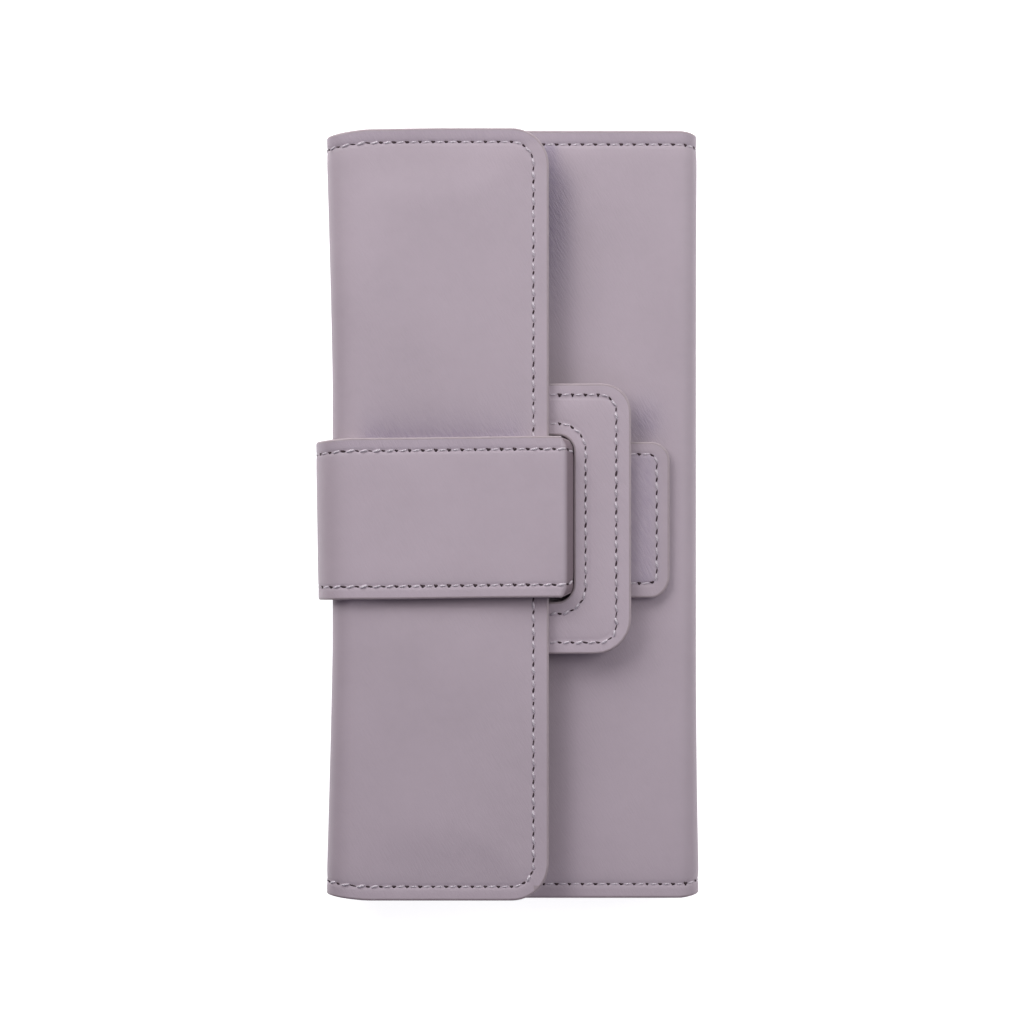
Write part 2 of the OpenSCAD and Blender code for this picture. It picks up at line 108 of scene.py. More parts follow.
# Radii and places that boxes don't tell
FLAP_CORNER_R = 9.2
FRONT_CORNER_R = 6.0
DIVE_SLOPE = 60.0
DIVE_R = 1.0
DIVE_FOOT_R = 1.15
DIVE_DEPTH = 0.2
DIVE_LINES = 30
SLOT_GAP = 0.08
STRAP_NARROWING = 0.85
STRAP_RISE = 0.5
TIP_R = 4.8
LOOP_TOP_R = 7.2
LOOP_BOTTOM_R = 8.8
SLOT_X = FLAP_X + 6.15
SLOT_W = 7.5
SLOT_L = 41.0
SLOT_LOW_Y = STRAP_Y - SLOT_L / 2
SLOT_HIGH_Y = STRAP_Y + SLOT_L / 2
SLOT_LOW_R = 4.4
SLOT_HIGH_R = 3.8
HIDDEN_R = 1.0

# Leather forming
EDGE = 0.5
EDGE_DROP = 0.34
BACK_EDGE = 0.25
PAINT = 0.55
GROOVE = 0.16
GROOVE_W = 0.5
SEAM = 3.45
FLAP_SEAM = 3.8
STRAP_SEAM = 3.2
PITCH = 3.2
PAD = 0.75
DENT = 4.5
MARGIN_DROP = 0.12
STRAP_MARGIN_DROP = 0.05
PLY_EDGE = (0.15, 0.06)
THIN_EDGE = 0.3

# Shape that use has given the wallet
WAIST = 32.0
FLARE_LEFT = 1.55
FLARE_RIGHT_LOW = 0.75
FLARE_RIGHT_HIGH = 0.2
NIP_LEFT_LOW = 1.4
NIP_LEFT_HIGH = 1.75
SLANT_LEFT = 0.35
SLANT_REACH = 28.0
NIP_RIGHT = 1.0
SPINE_FADE = 9.1
FOLD_FADE = 4.5
STRAP_SAG = 0.6
STRAP_TAPER = 0.4
STRAP_LEAN = 0.3
STRAP_STRETCH = 0.4
STRAP_SPREAD = 0.58
TIP_SKIVE = 0.8

# Shade and shadows painted into the leather's colour, violet or dark, and how strong each is
VIOLET_SHADE_ABOVE_STRAP = 0.3
VIOLET_SHADOW_BESIDE_FLAP = 0.32
VIOLET_SHADOW_ABOVE_TIP = 0.24
VIOLET_SHADE_MARGIN = 0.08
VIOLET_SHADOW_TIP = 0.2
VIOLET_SHADE_STRAP_MARGIN = 0.07
PAINTED_SHADE_SPINE = 0.17
PAINTED_SHADE_FOLD = 0.11
PAINTED_SHADOW_BELOW_STRAP = 0.46
PAINTED_SHADOW_BESIDE_FLAP = 0.14
PAINTED_SHADE_UPPER_END = 0.05
PAINTED_SHADE_STRAP_BENDS = 0.2
PAINTED_SHADE_DIVE = 0.72
PAINTED_SHADE_TIP_MARGIN = 0.12

# Lines of the meshes
NEAR_SHARE = 0.45
LEAST_STEP = 0.02
TURN_LINES = 6


def smooth(t):
    """Smooth step from 0 to 1."""
    t = np.clip(t, 0.0, 1.0)
    return t * t * (3 - 2 * t)


def rise(v, start, length):
    """Smooth step from 0 at start to 1 a length further on, or further back where it is negative."""
    return smooth((v - start) / length)


def bell(distance, width):
    """1 at no distance, and fading out over a width on both sides."""
    return np.exp(-((distance / width) ** 2))


def settle(p):
    """The wallet flares at its ends where the strap doesn't hold it, and its corners draw in."""
    x, y = p[:, X].copy(), p[:, Y].copy()
    end = np.clip((np.abs(y) - WAIST) / (HALF_L - WAIST), 0, 1)
    left = np.clip((SPINE_X + SPINE_FADE - x) / SPINE_FADE, 0, 1)
    right = np.clip((x - FOLD_X + FOLD_FADE) / FOLD_FADE, 0, 1)
    flare_right = np.where(y < 0, FLARE_RIGHT_LOW, FLARE_RIGHT_HIGH)
    p[:, X] += right**2 * flare_right * end**2 - smooth(left) * FLARE_LEFT * end**1.2
    slant = SLANT_LEFT * rise(x, SPINE_X + SLANT_REACH, -SLANT_REACH)
    nip_left = np.where(y < 0, NIP_LEFT_LOW * left**1.6, NIP_LEFT_HIGH * left**1.6 + slant)
    p[:, Y] -= (nip_left + NIP_RIGHT * right**2) * (y / HALF_L) ** 3
    return p


def settle_strap(p):
    """The strap sags and leans a little where it goes round the spine. Its end is skived thinner."""
    left = np.clip((BEND_X - p[:, X]) / STRAP_R, 0, 1)
    side = (p[:, Y] - STRAP_Y) / STRAP_HALF
    p[:, X] -= STRAP_LEAN * side * left
    p[:, Y] -= (STRAP_SAG + STRAP_TAPER * side) * left**1.5
    end = rise(p[:, X], MAGNET_X, TIP_X - MAGNET_X) * (p[:, Z] > TIP_Z - 1)
    p[:, Z] -= TIP_SKIVE * end * (p[:, Z] - TIP_Z) / (2 * PLY_T)
    return p


class Path:
    """Chain of straight and round stretches in the XZ plane. Its normal is on the left."""

    def __init__(self, x, z, heading):
        self.parts = []
        self.length = 0.0
        self.end = (x, z, math.radians(heading))

    def add(self, length, bend):
        x, z, angle = self.end
        self.parts.append((self.length, x, z, angle, bend))
        self.length += length
        end_x, _, end_z = self.point(self.length, 0.0, 0.0)
        self.end = (end_x, end_z, angle + bend * length)
        return self.length

    def line(self, length):
        return self.add(length, 0.0)

    def turn(self, radius, degrees):
        angle = math.radians(degrees)
        return self.add(radius * abs(angle), math.copysign(1 / radius, angle))

    def point(self, s, y, h):
        s, y, h = np.broadcast_arrays(*(np.asarray(v, float) for v in (s, y, h)))
        table = np.array(self.parts)
        index = np.clip(np.searchsorted(table[:, 0], s, side="right") - 1, 0, len(table) - 1)
        start, x, z, heading, bend = np.moveaxis(table[index], -1, 0)
        along = s - start
        angle = heading + bend * along
        straight = bend == 0
        radius = 1 / np.where(straight, 1.0, bend)
        x = x + np.where(straight, along * np.cos(heading), (np.sin(angle) - np.sin(heading)) * radius)
        z = z + np.where(straight, along * np.sin(heading), (np.cos(heading) - np.cos(angle)) * radius)
        return np.stack([x - h * np.sin(angle), y, z + h * np.cos(angle)], axis=-1)


def flat_path(x, z, up=True):
    """Level path at height z: it runs right from x and faces up, or left and faces down."""
    path = Path(x, z, 0 if up else 180)
    path.line(2 * HALF_L)
    return path


def in_scene(name, data):
    """New object that shows the data in the scene."""
    obj = bpy.data.objects.new(name, data)
    bpy.context.scene.collection.objects.link(obj)
    return obj


def new_object(name, points, faces, materials, indices=None, flat=None, sharp=(), lie=settle):
    """Mesh object from points in millimetres, smooth but for its sharp edges."""
    points = lie(np.array(points, float))
    mesh = bpy.data.meshes.new(name)
    mesh.from_pydata((points * MM).tolist(), [], [list(map(int, f)) for f in faces])
    for material in materials:
        mesh.materials.append(material)
    if indices is not None:
        mesh.polygons.foreach_set("material_index", np.asarray(indices, np.int32))
    mesh.polygons.foreach_set("use_smooth", np.ones(len(mesh.polygons), bool))
    layer = mesh.attributes.new("flat", "FLOAT_VECTOR", "POINT")
    layer.data.foreach_set("vector", np.asarray(flat, np.float32).ravel())
    mesh.update(calc_edges=True)
    if len(sharp):
        corner = np.zeros(len(points), bool)
        corner[list(sharp)] = True
        ends = np.zeros(2 * len(mesh.edges), np.int32)
        mesh.edges.foreach_get("vertices", ends)
        mesh.edges.foreach_set("use_edge_sharp", corner[ends].reshape(-1, 2).all(axis=1))
    return in_scene(name, mesh)


def edge_insets(edge, paint, seams):
    """Distances from a free edge where a sheet needs lines: for its round edge, paint and seams."""
    around = [edge * (1 - math.cos(math.radians(a))) for a in (0, 22, 45, 67, 90)]
    around.append(max(edge, paint))
    return around + [seam + k * GROOVE_W for seam in seams for k in (-2.2, -1, 0, 1, 2.2)]


def grid_lines(start, end, step, start_insets, end_insets, extra=()):
    """Sorted lines from start to end: at the insets of a free end, then at an even step."""
    reach = NEAR_SHARE * (end - start)
    near = [start + d for d in start_insets if d < reach]
    far = [end - d for d in end_insets if d < reach]
    inner = max(near, default=start)
    outer = min(far, default=end)
    even = np.linspace(inner, outer, max(2, round((outer - inner) / step) + 1))
    lines = np.array(sorted([*near, *far, *even, *extra]))
    keep = np.concatenate([[True], np.diff(lines) > LEAST_STEP])
    return lines[keep]


def round_corner(s, y, corner_s, corner_y, side_s, side_y, radius):
    """Moves the square grid of one corner into a quarter disc. The insets stay true."""
    p = radius - (corner_s - s) * side_s
    q = radius - (corner_y - y) * side_y
    inside = (p > 0) & (q > 0)
    far = np.maximum(p, q)
    angle = math.pi / 4 * np.minimum(p, q) / np.where(inside, far, 1.0)
    long, short = far * np.cos(angle), far * np.sin(angle)
    s_new = corner_s - (radius - np.where(p >= q, long, short)) * side_s
    y_new = corner_y - (radius - np.where(p >= q, short, long)) * side_y
    return np.where(inside, s_new, s), np.where(inside, y_new, y)


def rounding(d, edge, drop):
    """Fall of a surface within edge of its border, by drop at the border."""
    t = np.clip(1 - d / edge, 0, 1)
    return drop * (np.sqrt(1 - t**2) - 1)


def groove(d, seam, depth=GROOVE):
    return -depth * bell(d - seam, GROOVE_W)


def level_side(height, edge, drop, side=1):
    """Level face (side 1) or back (side -1) of a sheet, round within edge of its border."""
    return lambda s, y, d: height + side * rounding(d, edge, drop)


def sheet(name, path, span, width, materials, top, bottom, free="SELH", start_r=0, end_r=0,
          edge=EDGE, paint=PAINT, seams=(), step=(1.6, 3.0), extra_s=(), extra_y=(), hole=None,
          shape=None, lie=settle, end_scale=1.0, marks=None):
    """Closed sheet laid along a path, with round edges on its free sides.

    The free sides are S and E, its start and end along the path, and L and H, its low and high y.
    top and bottom give the heights from s, y and the distance d from the nearest free edge.
    materials are those of its face, its painted edge and its back. end_scale shrinks distances
    from the end side, whose seam lies further in. marks tell how much shade to paint into the leather's
    colour.
    """
    (s0, s1), (y0, y1) = span, width
    insets = edge_insets(edge, paint, seams) + [max(seams) + d for d in (2.5, 4.5, 7.5) if seams]
    corner_r = max(start_r, end_r)
    turns = [corner_r * k / TURN_LINES for k in range(1, TURN_LINES + 1)]

    def side_insets(side, radius):
        if side not in free:
            return []
        return insets + (turns if radius else [])

    extra_s = [v for v in extra_s if s0 < v < s1]
    if hole:
        extra_s, extra_y = [*extra_s, *hole[:2]], [*extra_y, *hole[2:]]
    s_lines = grid_lines(s0, s1, step[0], side_insets("S", start_r), side_insets("E", end_r), extra_s)
    y_lines = grid_lines(y0, y1, step[1], side_insets("L", corner_r), side_insets("H", corner_r), extra_y)
    s, y = np.meshgrid(s_lines, y_lines, indexing="ij")
    gaps = {"S": s - s0, "E": (s1 - s) * end_scale, "L": y - y0, "H": y1 - y}
    d = np.min([gaps[side] for side in free], axis=0)
    for corner_s, side_s, radius in ((s0, -1, start_r), (s1, 1, end_r)):
        for corner_y, side_y in ((y0, -1), (y1, 1)):
            if radius:
                s, y = round_corner(s, y, corner_s, corner_y, side_s, side_y, radius)
    if shape:
        y = shape(s, y)
    heights = top(s, y, d), bottom(s, y, d)
    points = np.concatenate([path.point(s, y, h).reshape(-1, 3) for h in heights])
    flat = np.concatenate([np.stack([s, y, h], axis=-1).reshape(-1, 3) for h in heights])

    ids = np.arange(s.size).reshape(s.shape)
    solid = np.ones((len(s_lines) - 1, len(y_lines) - 1), bool)
    if hole:
        middle_s = (s_lines[1:] + s_lines[:-1]) / 2
        middle_y = (y_lines[1:] + y_lines[:-1]) / 2
        solid = ~np.logical_and.outer((middle_s > hole[0]) & (middle_s < hole[1]),
                                      (middle_y > hole[2]) & (middle_y < hole[3]))
    a, b, c, e = ids[:-1, :-1], ids[1:, :-1], ids[1:, 1:], ids[:-1, 1:]
    cell_d = (d[:-1, :-1] + d[1:, 1:]) / 2
    tops = np.stack([a, b, c, e], axis=-1)[solid]
    backs = np.stack([e, c, b, a], axis=-1)[solid] + s.size
    around = np.pad(solid, 1)
    rims, sharp = [], []
    for side, beyond, first, second in (
        ("L", around[1:-1, :-2], a, b),
        ("H", around[1:-1, 2:], c, e),
        ("S", around[:-2, 1:-1], e, a),
        ("E", around[2:, 1:-1], b, c),
    ):
        p, q = first[solid & ~beyond], second[solid & ~beyond]
        rims.append(np.stack([p, p + s.size, q + s.size, q], axis=-1))
        if side not in free:
            sharp.extend(rims[-1].ravel())
    rims = np.concatenate(rims)
    faces = np.concatenate([tops, backs, rims])
    face_kinds = np.where(cell_d[solid] < paint, 1, 0)
    indices = np.concatenate([face_kinds, np.full(len(backs), 2), np.full(len(rims), 1)])
    used, faces = np.unique(faces, return_inverse=True)
    sharp = np.searchsorted(used, np.unique(sharp)) if sharp else ()
    obj = new_object(name, points[used], faces.reshape(-1, 4), materials, indices, flat[used], sharp, lie)
    for mark, amount in (marks or {}).items():
        layer = obj.data.attributes.new(mark, "FLOAT", "POINT")
        layer.data.foreach_set("value", amount(flat[used, 0], flat[used, 1]).astype(np.float32))
    return obj


def outline(x0, x1, y0, y1, radii, inset):
    """Closed outline of a round rectangle, inset by a distance, with the same points at every inset."""
    side_points, turn_points, least_r = 24, 8, 0.3
    sides = ((x1, y0, 1, -1, -90), (x1, y1, 1, 1, 0), (x0, y1, -1, 1, 90), (x0, y0, -1, -1, 180))
    arcs = []
    for (corner_x, corner_y, side_x, side_y, start), radius in zip(sides, radii):
        reach = max(radius - inset, least_r)
        x = corner_x - side_x * (inset + reach)
        y = corner_y - side_y * (inset + reach)
        angles = np.radians(np.linspace(start, start + 90, turn_points))
        arcs.append(np.stack([x + reach * np.cos(angles), y + reach * np.sin(angles)], axis=-1))
    loop = []
    for arc, following in zip(arcs, arcs[1:] + arcs[:1]):
        loop += [arc, np.linspace(arc[-1], following[0], side_points + 1)[1:-1]]
    return np.concatenate(loop)


def slotted_sheet(name, outer, slot, materials, upper, lower, seam):
    """Closed sheet with a slot: rings run over its face, into the slot, back and round its edge."""
    insets = edge_insets(EDGE, PAINT, (seam,))
    rings, kinds = [], []

    def add_ring(box, d, level, sign, kind):
        fall = rounding(np.array(d), EDGE, EDGE_DROP if sign > 0 else BACK_EDGE) + groove(d, seam)
        xy = outline(*box, d if box is outer else -d)
        rings.append(np.column_stack([xy, np.full(len(xy), level + sign * fall)]))
        kinds.append(kind)

    for level, sign, face, first, second in ((upper, 1, 0, outer, slot), (lower, -1, 2, slot, outer)):
        for d in insets:
            add_ring(first, d, level, sign, 1 if d < PAINT else face)
        for d in reversed(insets):
            add_ring(second, d, level, sign, 1 if d <= PAINT else face)
    count, size = len(rings), len(rings[0])
    ids = np.arange(count * size).reshape(count, size)
    after = np.roll(ids, -1, axis=0)
    faces = np.stack([ids, np.roll(ids, -1, axis=1), np.roll(after, -1, axis=1), after], axis=-1)
    flat = np.concatenate(rings)
    return new_object(name, flat, faces.reshape(-1, 4), materials, np.repeat(kinds, size), flat)


def u_line(first, last, low_y, high_y, radius):
    """Dense line from first to last at the high y, round two corners, and back at the low y."""
    points = np.array([(first, high_y), (last, high_y), (last, low_y), (first, low_y)], float)
    line = [points[0]]
    for before, corner, after in zip(points, points[1:], points[2:]):
        u = (before - corner) / np.linalg.norm(before - corner)
        v = (after - corner) / np.linalg.norm(after - corner)
        centre = corner + (u + v) * radius
        for t in np.radians(np.linspace(0, 90, 13)):
            line.append(centre - v * radius * math.cos(t) - u * radius * math.sin(t))
    return np.array([*line, points[-1]])


def lengths(line):
    """Length along a flat line up to each of its points."""
    return np.concatenate([[0], np.cumsum(np.linalg.norm(np.diff(line, axis=0), axis=1))])


def on_line(line, at):
    """Points of a flat line at the given lengths along it."""
    return np.stack([np.interp(at, lengths(line), line[:, k]) for k in (0, 1)], axis=-1)


THREAD_R = 0.3
THREAD_SHARE = 0.64
THREAD_LEAN = 0.16
THREAD_TAPER = 0.82
THREAD_LIFT = 0.06
THREAD_DIP = 0.3
THREAD_RINGS = 7
THREAD_SIDES = 6
HOLE_SIDES = 12
HOLE_LONG = 0.46
HOLE_WIDE = 0.42
UNEVEN_THREAD = 0.1
UNEVEN_HOLE = 0.12


def stitches(name, path, line, base, side=1, lie=settle, tight=None):
    """Row of stitches along a flat line: bright thread that leans, between dark needle holes.

    base is the level of the surface, or a function that tells it from s. The needle's slanting
    tip leaves wedges in rows along the path and slits in rows across it. tight tells where the
    thread is pulled tight, so that it is full and its holes close to slits. The holes are dark discs
    whose colour is painted shade.
    """
    length = lengths(line)[-1]
    count = max(1, round(length / PITCH))
    pitch = length / count
    rng = np.random.default_rng(len(name) + count)

    def placed(at):
        """Places on the line, its direction, how far it runs across the path, and the thread's pull."""
        here = on_line(line, at)
        way = on_line(line, np.minimum(at + 0.2, length)) - on_line(line, np.maximum(at - 0.2, 0))
        way /= np.linalg.norm(way, axis=1, keepdims=True)
        pull = tight(here[:, 0, None], here[:, 1, None]) if tight else 0.0
        return here, way, np.abs(way[:, 1, None]), pull

    def lay(centre, way, a, b, c):
        """Points at a along the line, b across it and c above it."""
        s = centre[:, 0, None] + way[:, 0, None] * a - way[:, 1, None] * b
        y = centre[:, 1, None] + way[:, 1, None] * a + way[:, 0, None] * b
        level = base(s) if callable(base) else base
        return path.point(s, y, level + side * c).reshape(-1, 3)

    u = np.linspace(-1, 1, THREAD_RINGS)
    angle = np.arange(THREAD_SIDES) * 2 * math.pi / THREAD_SIDES
    half = THREAD_SHARE * pitch / 2
    radius = THREAD_R * np.sqrt(1 - THREAD_TAPER * u**4)
    a = np.repeat(half * u, THREAD_SIDES)
    b = THREAD_LEAN * a + np.outer(radius, np.cos(angle)).ravel()
    c = np.repeat(THREAD_LIFT - THREAD_DIP * u**2, THREAD_SIDES)
    c = c + np.outer(radius, np.sin(angle)).ravel() * side
    centre, way, across, pull = placed((np.arange(count) + 0.5) * pitch)
    uneven = 1 + UNEVEN_THREAD * rng.standard_normal((3, count, 1))
    slim = 0.8 + 0.22 * across + 0.28 * pull * (1 - across)
    sink = 0.1 * (1 - across) * (1 - pull)
    b = b * slim * uneven[1] + THREAD_LEAN * pull * a
    thread = lay(centre, way, a * (0.96 + 0.04 * uneven[0]), b, c * slim - sink)
    twist = np.column_stack([a, np.tile(angle, THREAD_RINGS), np.zeros(a.size)])
    ids = np.arange(a.size).reshape(THREAD_RINGS, THREAD_SIDES)
    turned = np.roll(ids, -1, axis=1)
    tube = np.stack([ids[:-1], ids[1:], turned[1:], turned[:-1]], axis=-1).reshape(-1, 4)
    caps = (ids[0][::-1], ids[-1])
    faces = [f + n * a.size for shapes in (tube, caps) for n in range(count) for f in shapes]
    indices = [0] * len(faces)

    centre, way, across, pull = placed(np.arange(count + 1) * pitch)
    size = (1 + UNEVEN_HOLE * rng.standard_normal((2, count + 1, 1))).clip(0.75, 1.25)
    apex = np.where(way[:, 0, None] > 0, -1, 1) * math.pi / 2
    angle = np.arange(HOLE_SIDES) * 2 * math.pi / HOLE_SIDES
    swell = 1 + 0.3 * (1 - across) * (1 - pull) * np.cos(3 * (angle - apex))
    long = HOLE_LONG + 0.16 * across + 0.14 * pull
    wide = (HOLE_WIDE - 0.2 * across) * (1 - 0.5 * pull)
    a = np.pad(long * size[0] * swell * np.cos(angle), ((0, 0), (0, 2)))
    b = np.pad(wide * size[1] * swell * np.sin(angle), ((0, 0), (0, 2))) - 1.1 * THREAD_LEAN * a
    c = np.concatenate([np.full(HOLE_SIDES, 0.03), [0.08, -0.3]])
    holes = lay(centre, way, a, b, c)
    for first in len(thread) + np.arange(count + 1) * c.size:
        for k in range(HOLE_SIDES):
            here, following = first + k, first + (k + 1) % HOLE_SIDES
            faces.append([here, following, first + HOLE_SIDES])
            faces.append([following, here, first + HOLE_SIDES + 1])
    indices += [1] * (len(faces) - len(indices))
    flat = np.concatenate([np.tile(twist, (count, 1)), np.zeros_like(holes)])
    obj = new_object(name, np.concatenate([thread, holes]), faces, SEWN, indices, flat, (), lie)
    obj.data.validate()
    return obj


class Nodes:
    """Short hand for a material's node tree."""

    def __init__(self, name):
        self.material = bpy.data.materials.new(name)
        self.material.use_nodes = True
        self.tree = self.material.node_tree
        self.tree.nodes.clear()
        self.output = self.add("ShaderNodeOutputMaterial")
        self.shader = self.add("ShaderNodeBsdfPrincipled")
        self.link(self.shader.outputs["BSDF"], self.output.inputs["Surface"])

    def add(self, kind, **values):
        node = self.tree.nodes.new(kind)
        for key, value in values.items():
            if hasattr(node, key):
                setattr(node, key, value)
            else:
                node.inputs[key.replace("_", " ")].default_value = value
        return node

    def link(self, source, target):
        self.tree.links.new(source, target)

    def set(self, **values):
        for key, value in values.items():
            self.shader.inputs[key.replace("_", " ")].default_value = value

    def finished(self, colours, **values):
        """The material, with its base colour and the shader's own values."""
        self.link(colours, self.shader.inputs["Base Color"])
        self.set(**values)
        return self.material

    def attribute(self, name, output="Fac"):
        return self.add("ShaderNodeAttribute", attribute_name=name).outputs[output]

    def coordinates(self, scale, turn=0.0, flat=True):
        """Coordinates in millimetres on the flat sheet, or in the object."""
        unit = 1.0 if flat else MM
        if flat:
            source = self.attribute("flat", "Vector")
        else:
            source = self.add("ShaderNodeTexCoord").outputs["Object"]
        mapping = self.add("ShaderNodeMapping", vector_type="TEXTURE")
        mapping.inputs["Scale"].default_value = [unit / v for v in scale]
        mapping.inputs["Rotation"].default_value = (0, 0, math.radians(turn))
        self.link(source, mapping.inputs["Vector"])
        return mapping.outputs["Vector"]

    def noise(self, scale, detail, roughness, turn=0.0, flat=True):
        node = self.add("ShaderNodeTexNoise", Scale=1.0, Detail=detail, Roughness=roughness)
        self.link(self.coordinates(scale, turn, flat), node.inputs["Vector"])
        return node.outputs["Fac"]

    def math(self, operation, *values):
        node = self.add("ShaderNodeMath", operation=operation)
        for socket, value in zip(node.inputs, values):
            if isinstance(value, (int, float)):
                socket.default_value = value
            else:
                self.link(value, socket)
        return node.outputs[0]

    def mixed(self, first, second):
        """Seven parts of the first to three of the second."""
        return self.math("ADD", self.math("MULTIPLY", first, 0.7), self.math("MULTIPLY", second, 0.3))

    def tones(self, value, colour, *stops):
        """Shades of a colour along a value. Each stop is a position and a factor."""
        node = self.add("ShaderNodeValToRGB")
        elements = node.color_ramp.elements
        while len(elements) < len(stops):
            elements.new(0.5)
        for element, (position, factor) in zip(elements, stops):
            element.position = position
            element.color = (*shade(colour, factor), 1)
        self.link(value, node.inputs["Fac"])
        return node.outputs["Color"]

    def bump(self, height, distance):
        node = self.add("ShaderNodeBump", Distance=distance * MM, Strength=1.0)
        self.link(height, node.inputs["Height"])
        self.link(node.outputs["Normal"], self.shader.inputs["Normal"])


def linear(red, green, blue):
    """Linear colour from sRGB values of 0 to 255."""
    def channel(v):
        v /= 255
        return v / 12.92 if v <= 0.04045 else ((v + 0.055) / 1.055) ** 2.4
    return tuple(channel(v) for v in (red, green, blue))


def shade(colour, factor):
    return tuple(v * factor for v in colour)


# Tints of the painted shade, violet and dark, and how much deeper the grain shows under the violet one
VIOLET_SHADE_TINT = (0.22, 0.2, 0.48)
VIOLET_SHADE_GRAIN = 10.0
DARK_SHADE_TINT = (0.22, 0.16, 0.17)
GRAIN_DEPTH = 0.07


def leather(name, colour, roughness=0.5, grain=1.0):
    """Smooth coated leather: soft blotches, a fine drawn grain, faint pores, and shade painted into its
    colour from two attributes: a violet tint with a deeper grain, and a darker one.
    """
    nodes = Nodes(name)
    blotch = nodes.noise((0.035,) * 3, 2.0, 0.5)
    fine = nodes.noise((0.35,) * 3, 3.0, 0.6)
    drawn = nodes.noise((2.6, 0.4, 1.5), 3.0, 0.6, 30)
    pores = nodes.noise((5.0,) * 3, 2.0, 0.5)
    violet_shade = nodes.attribute("violet_shade")
    streaked = nodes.math("MULTIPLY", violet_shade, nodes.math("MULTIPLY_ADD", drawn, 1.6, 0.2))
    colours = nodes.tones(nodes.mixed(blotch, fine), colour, (0.3, 0.95), (0.5, 1), (0.72, 1.045))
    # Each mark multiplies a tint into the colour: painted shade, violet or dark
    for mark, tint in ((streaked, VIOLET_SHADE_TINT), (nodes.attribute("painted_shade"), DARK_SHADE_TINT)):
        darker = nodes.add("ShaderNodeMix", data_type="RGBA", blend_type="MULTIPLY")
        nodes.link(mark, darker.inputs["Factor"])
        nodes.link(colours, darker.inputs["A"])
        darker.inputs["B"].default_value = (*tint, 1)
        colours = darker.outputs["Result"]
    deeper = nodes.math("MULTIPLY_ADD", violet_shade, VIOLET_SHADE_GRAIN, 1.0)
    nodes.bump(nodes.math("MULTIPLY", nodes.mixed(drawn, pores), deeper), GRAIN_DEPTH * grain)
    rough = nodes.add("ShaderNodeMapRange")
    rough.inputs["To Min"].default_value = roughness - 0.05
    rough.inputs["To Max"].default_value = roughness + 0.07
    nodes.link(fine, rough.inputs["Value"])
    nodes.link(rough.outputs["Result"], nodes.shader.inputs["Roughness"])
    return nodes.finished(colours, Specular_IOR_Level=0.42, Sheen_Weight=0.06, Sheen_Roughness=0.5)


def edge_paint(name, colour):
    """Painted cut edge: smoother and paler than the leather, with slow waves from the brush."""
    nodes = Nodes(name)
    waves = nodes.noise((0.5, 0.5, 0.9), 2.0, 0.5)
    nodes.bump(waves, 0.08)
    colours = nodes.tones(waves, colour, (0.3, 0.96), (0.7, 1.04))
    return nodes.finished(colours, Roughness=0.42, Specular_IOR_Level=0.45)


def woven(name, colour, pitch, depth=0.03):
    """Plain weave: threads of two directions with a little unevenness."""
    nodes = Nodes(name)
    parts = nodes.add("ShaderNodeSeparateXYZ")
    nodes.link(nodes.coordinates((2 * math.pi / pitch,) * 3), parts.inputs["Vector"])
    weft = nodes.math("SINE", parts.outputs["X"])
    warp = nodes.math("SINE", parts.outputs["Y"])
    slub = nodes.noise((0.6, 3.0, 1.0), 2.0, 0.6)
    height = nodes.math("MULTIPLY_ADD", nodes.math("MULTIPLY", weft, warp), 0.5, slub)
    nodes.bump(height, depth)
    # The weave's low crossings are darker and its high ones lighter: painted shade and highlight, together
    # with the slub's own unevenness
    colours = nodes.tones(height, colour, (0.1, 0.8), (0.6, 1), (1.0, 1.12))
    return nodes.finished(colours, Roughness=0.75, Specular_IOR_Level=0.25, Sheen_Weight=0.15,
                          Sheen_Roughness=0.4)


def thread_material(name, colour):
    """Twisted polyester thread."""
    nodes = Nodes(name)
    parts = nodes.add("ShaderNodeSeparateXYZ")
    nodes.link(nodes.coordinates((9.0, 3.0, 1.0)), parts.inputs["Vector"])
    strands = nodes.math("SINE", nodes.math("ADD", parts.outputs["X"], parts.outputs["Y"]))
    nodes.bump(strands, 0.03)
    # The colour is darker in the grooves between the strands: painted shade
    colours = nodes.tones(nodes.math("MULTIPLY_ADD", strands, 0.5, 0.5), colour, (0.0, 0.8), (0.6, 1))
    return nodes.finished(colours, Roughness=0.38, Specular_IOR_Level=0.5, Sheen_Weight=0.1)


def plain(name, colour, roughness, variation=0.08, scale=0.8, **values):
    """One colour with a fine unevenness in its tone and its surface."""
    nodes = Nodes(name)
    tone = nodes.noise((scale,) * 3, 3.0, 0.6, flat=False)
    nodes.bump(tone, 0.02)
    colours = nodes.tones(tone, colour, (0.3, 1 - variation), (0.7, 1 + variation))
    return nodes.finished(colours, Roughness=roughness, **values)


LEATHER = linear(180, 166, 175)
outer_leather = leather("outer_leather", LEATHER)
strap_leather = leather("strap_leather", shade(LEATHER, 1.04))
inner_leather = leather("inner_leather", shade(LEATHER, 1.06), 0.55, 0.8)
back_leather = leather("back_leather", shade(LEATHER, 0.86), 0.7, 1.4)
painted_edge = edge_paint("painted_edge", linear(162, 148, 153))
lining_cloth = woven("lining_cloth", linear(150, 138, 149), 0.45)
tape_cloth = woven("tape_cloth", linear(134, 120, 132), 0.6, 0.06)
thread_colour = thread_material("thread", linear(205, 195, 203))
# Needle holes are drawn as dark discs on the surface: their colour is painted shade
painted_hole_shade = plain("painted_hole_shade", linear(62, 47, 52), 0.95)
cardboard = plain("cardboard", linear(168, 160, 150), 0.95, 0.12)
brass = plain("brass", linear(214, 190, 140), 0.28, 0.05, 1.5, Metallic=1.0)
steel = plain("steel", linear(196, 196, 198), 0.3, 0.05, 1.5, Metallic=1.0)

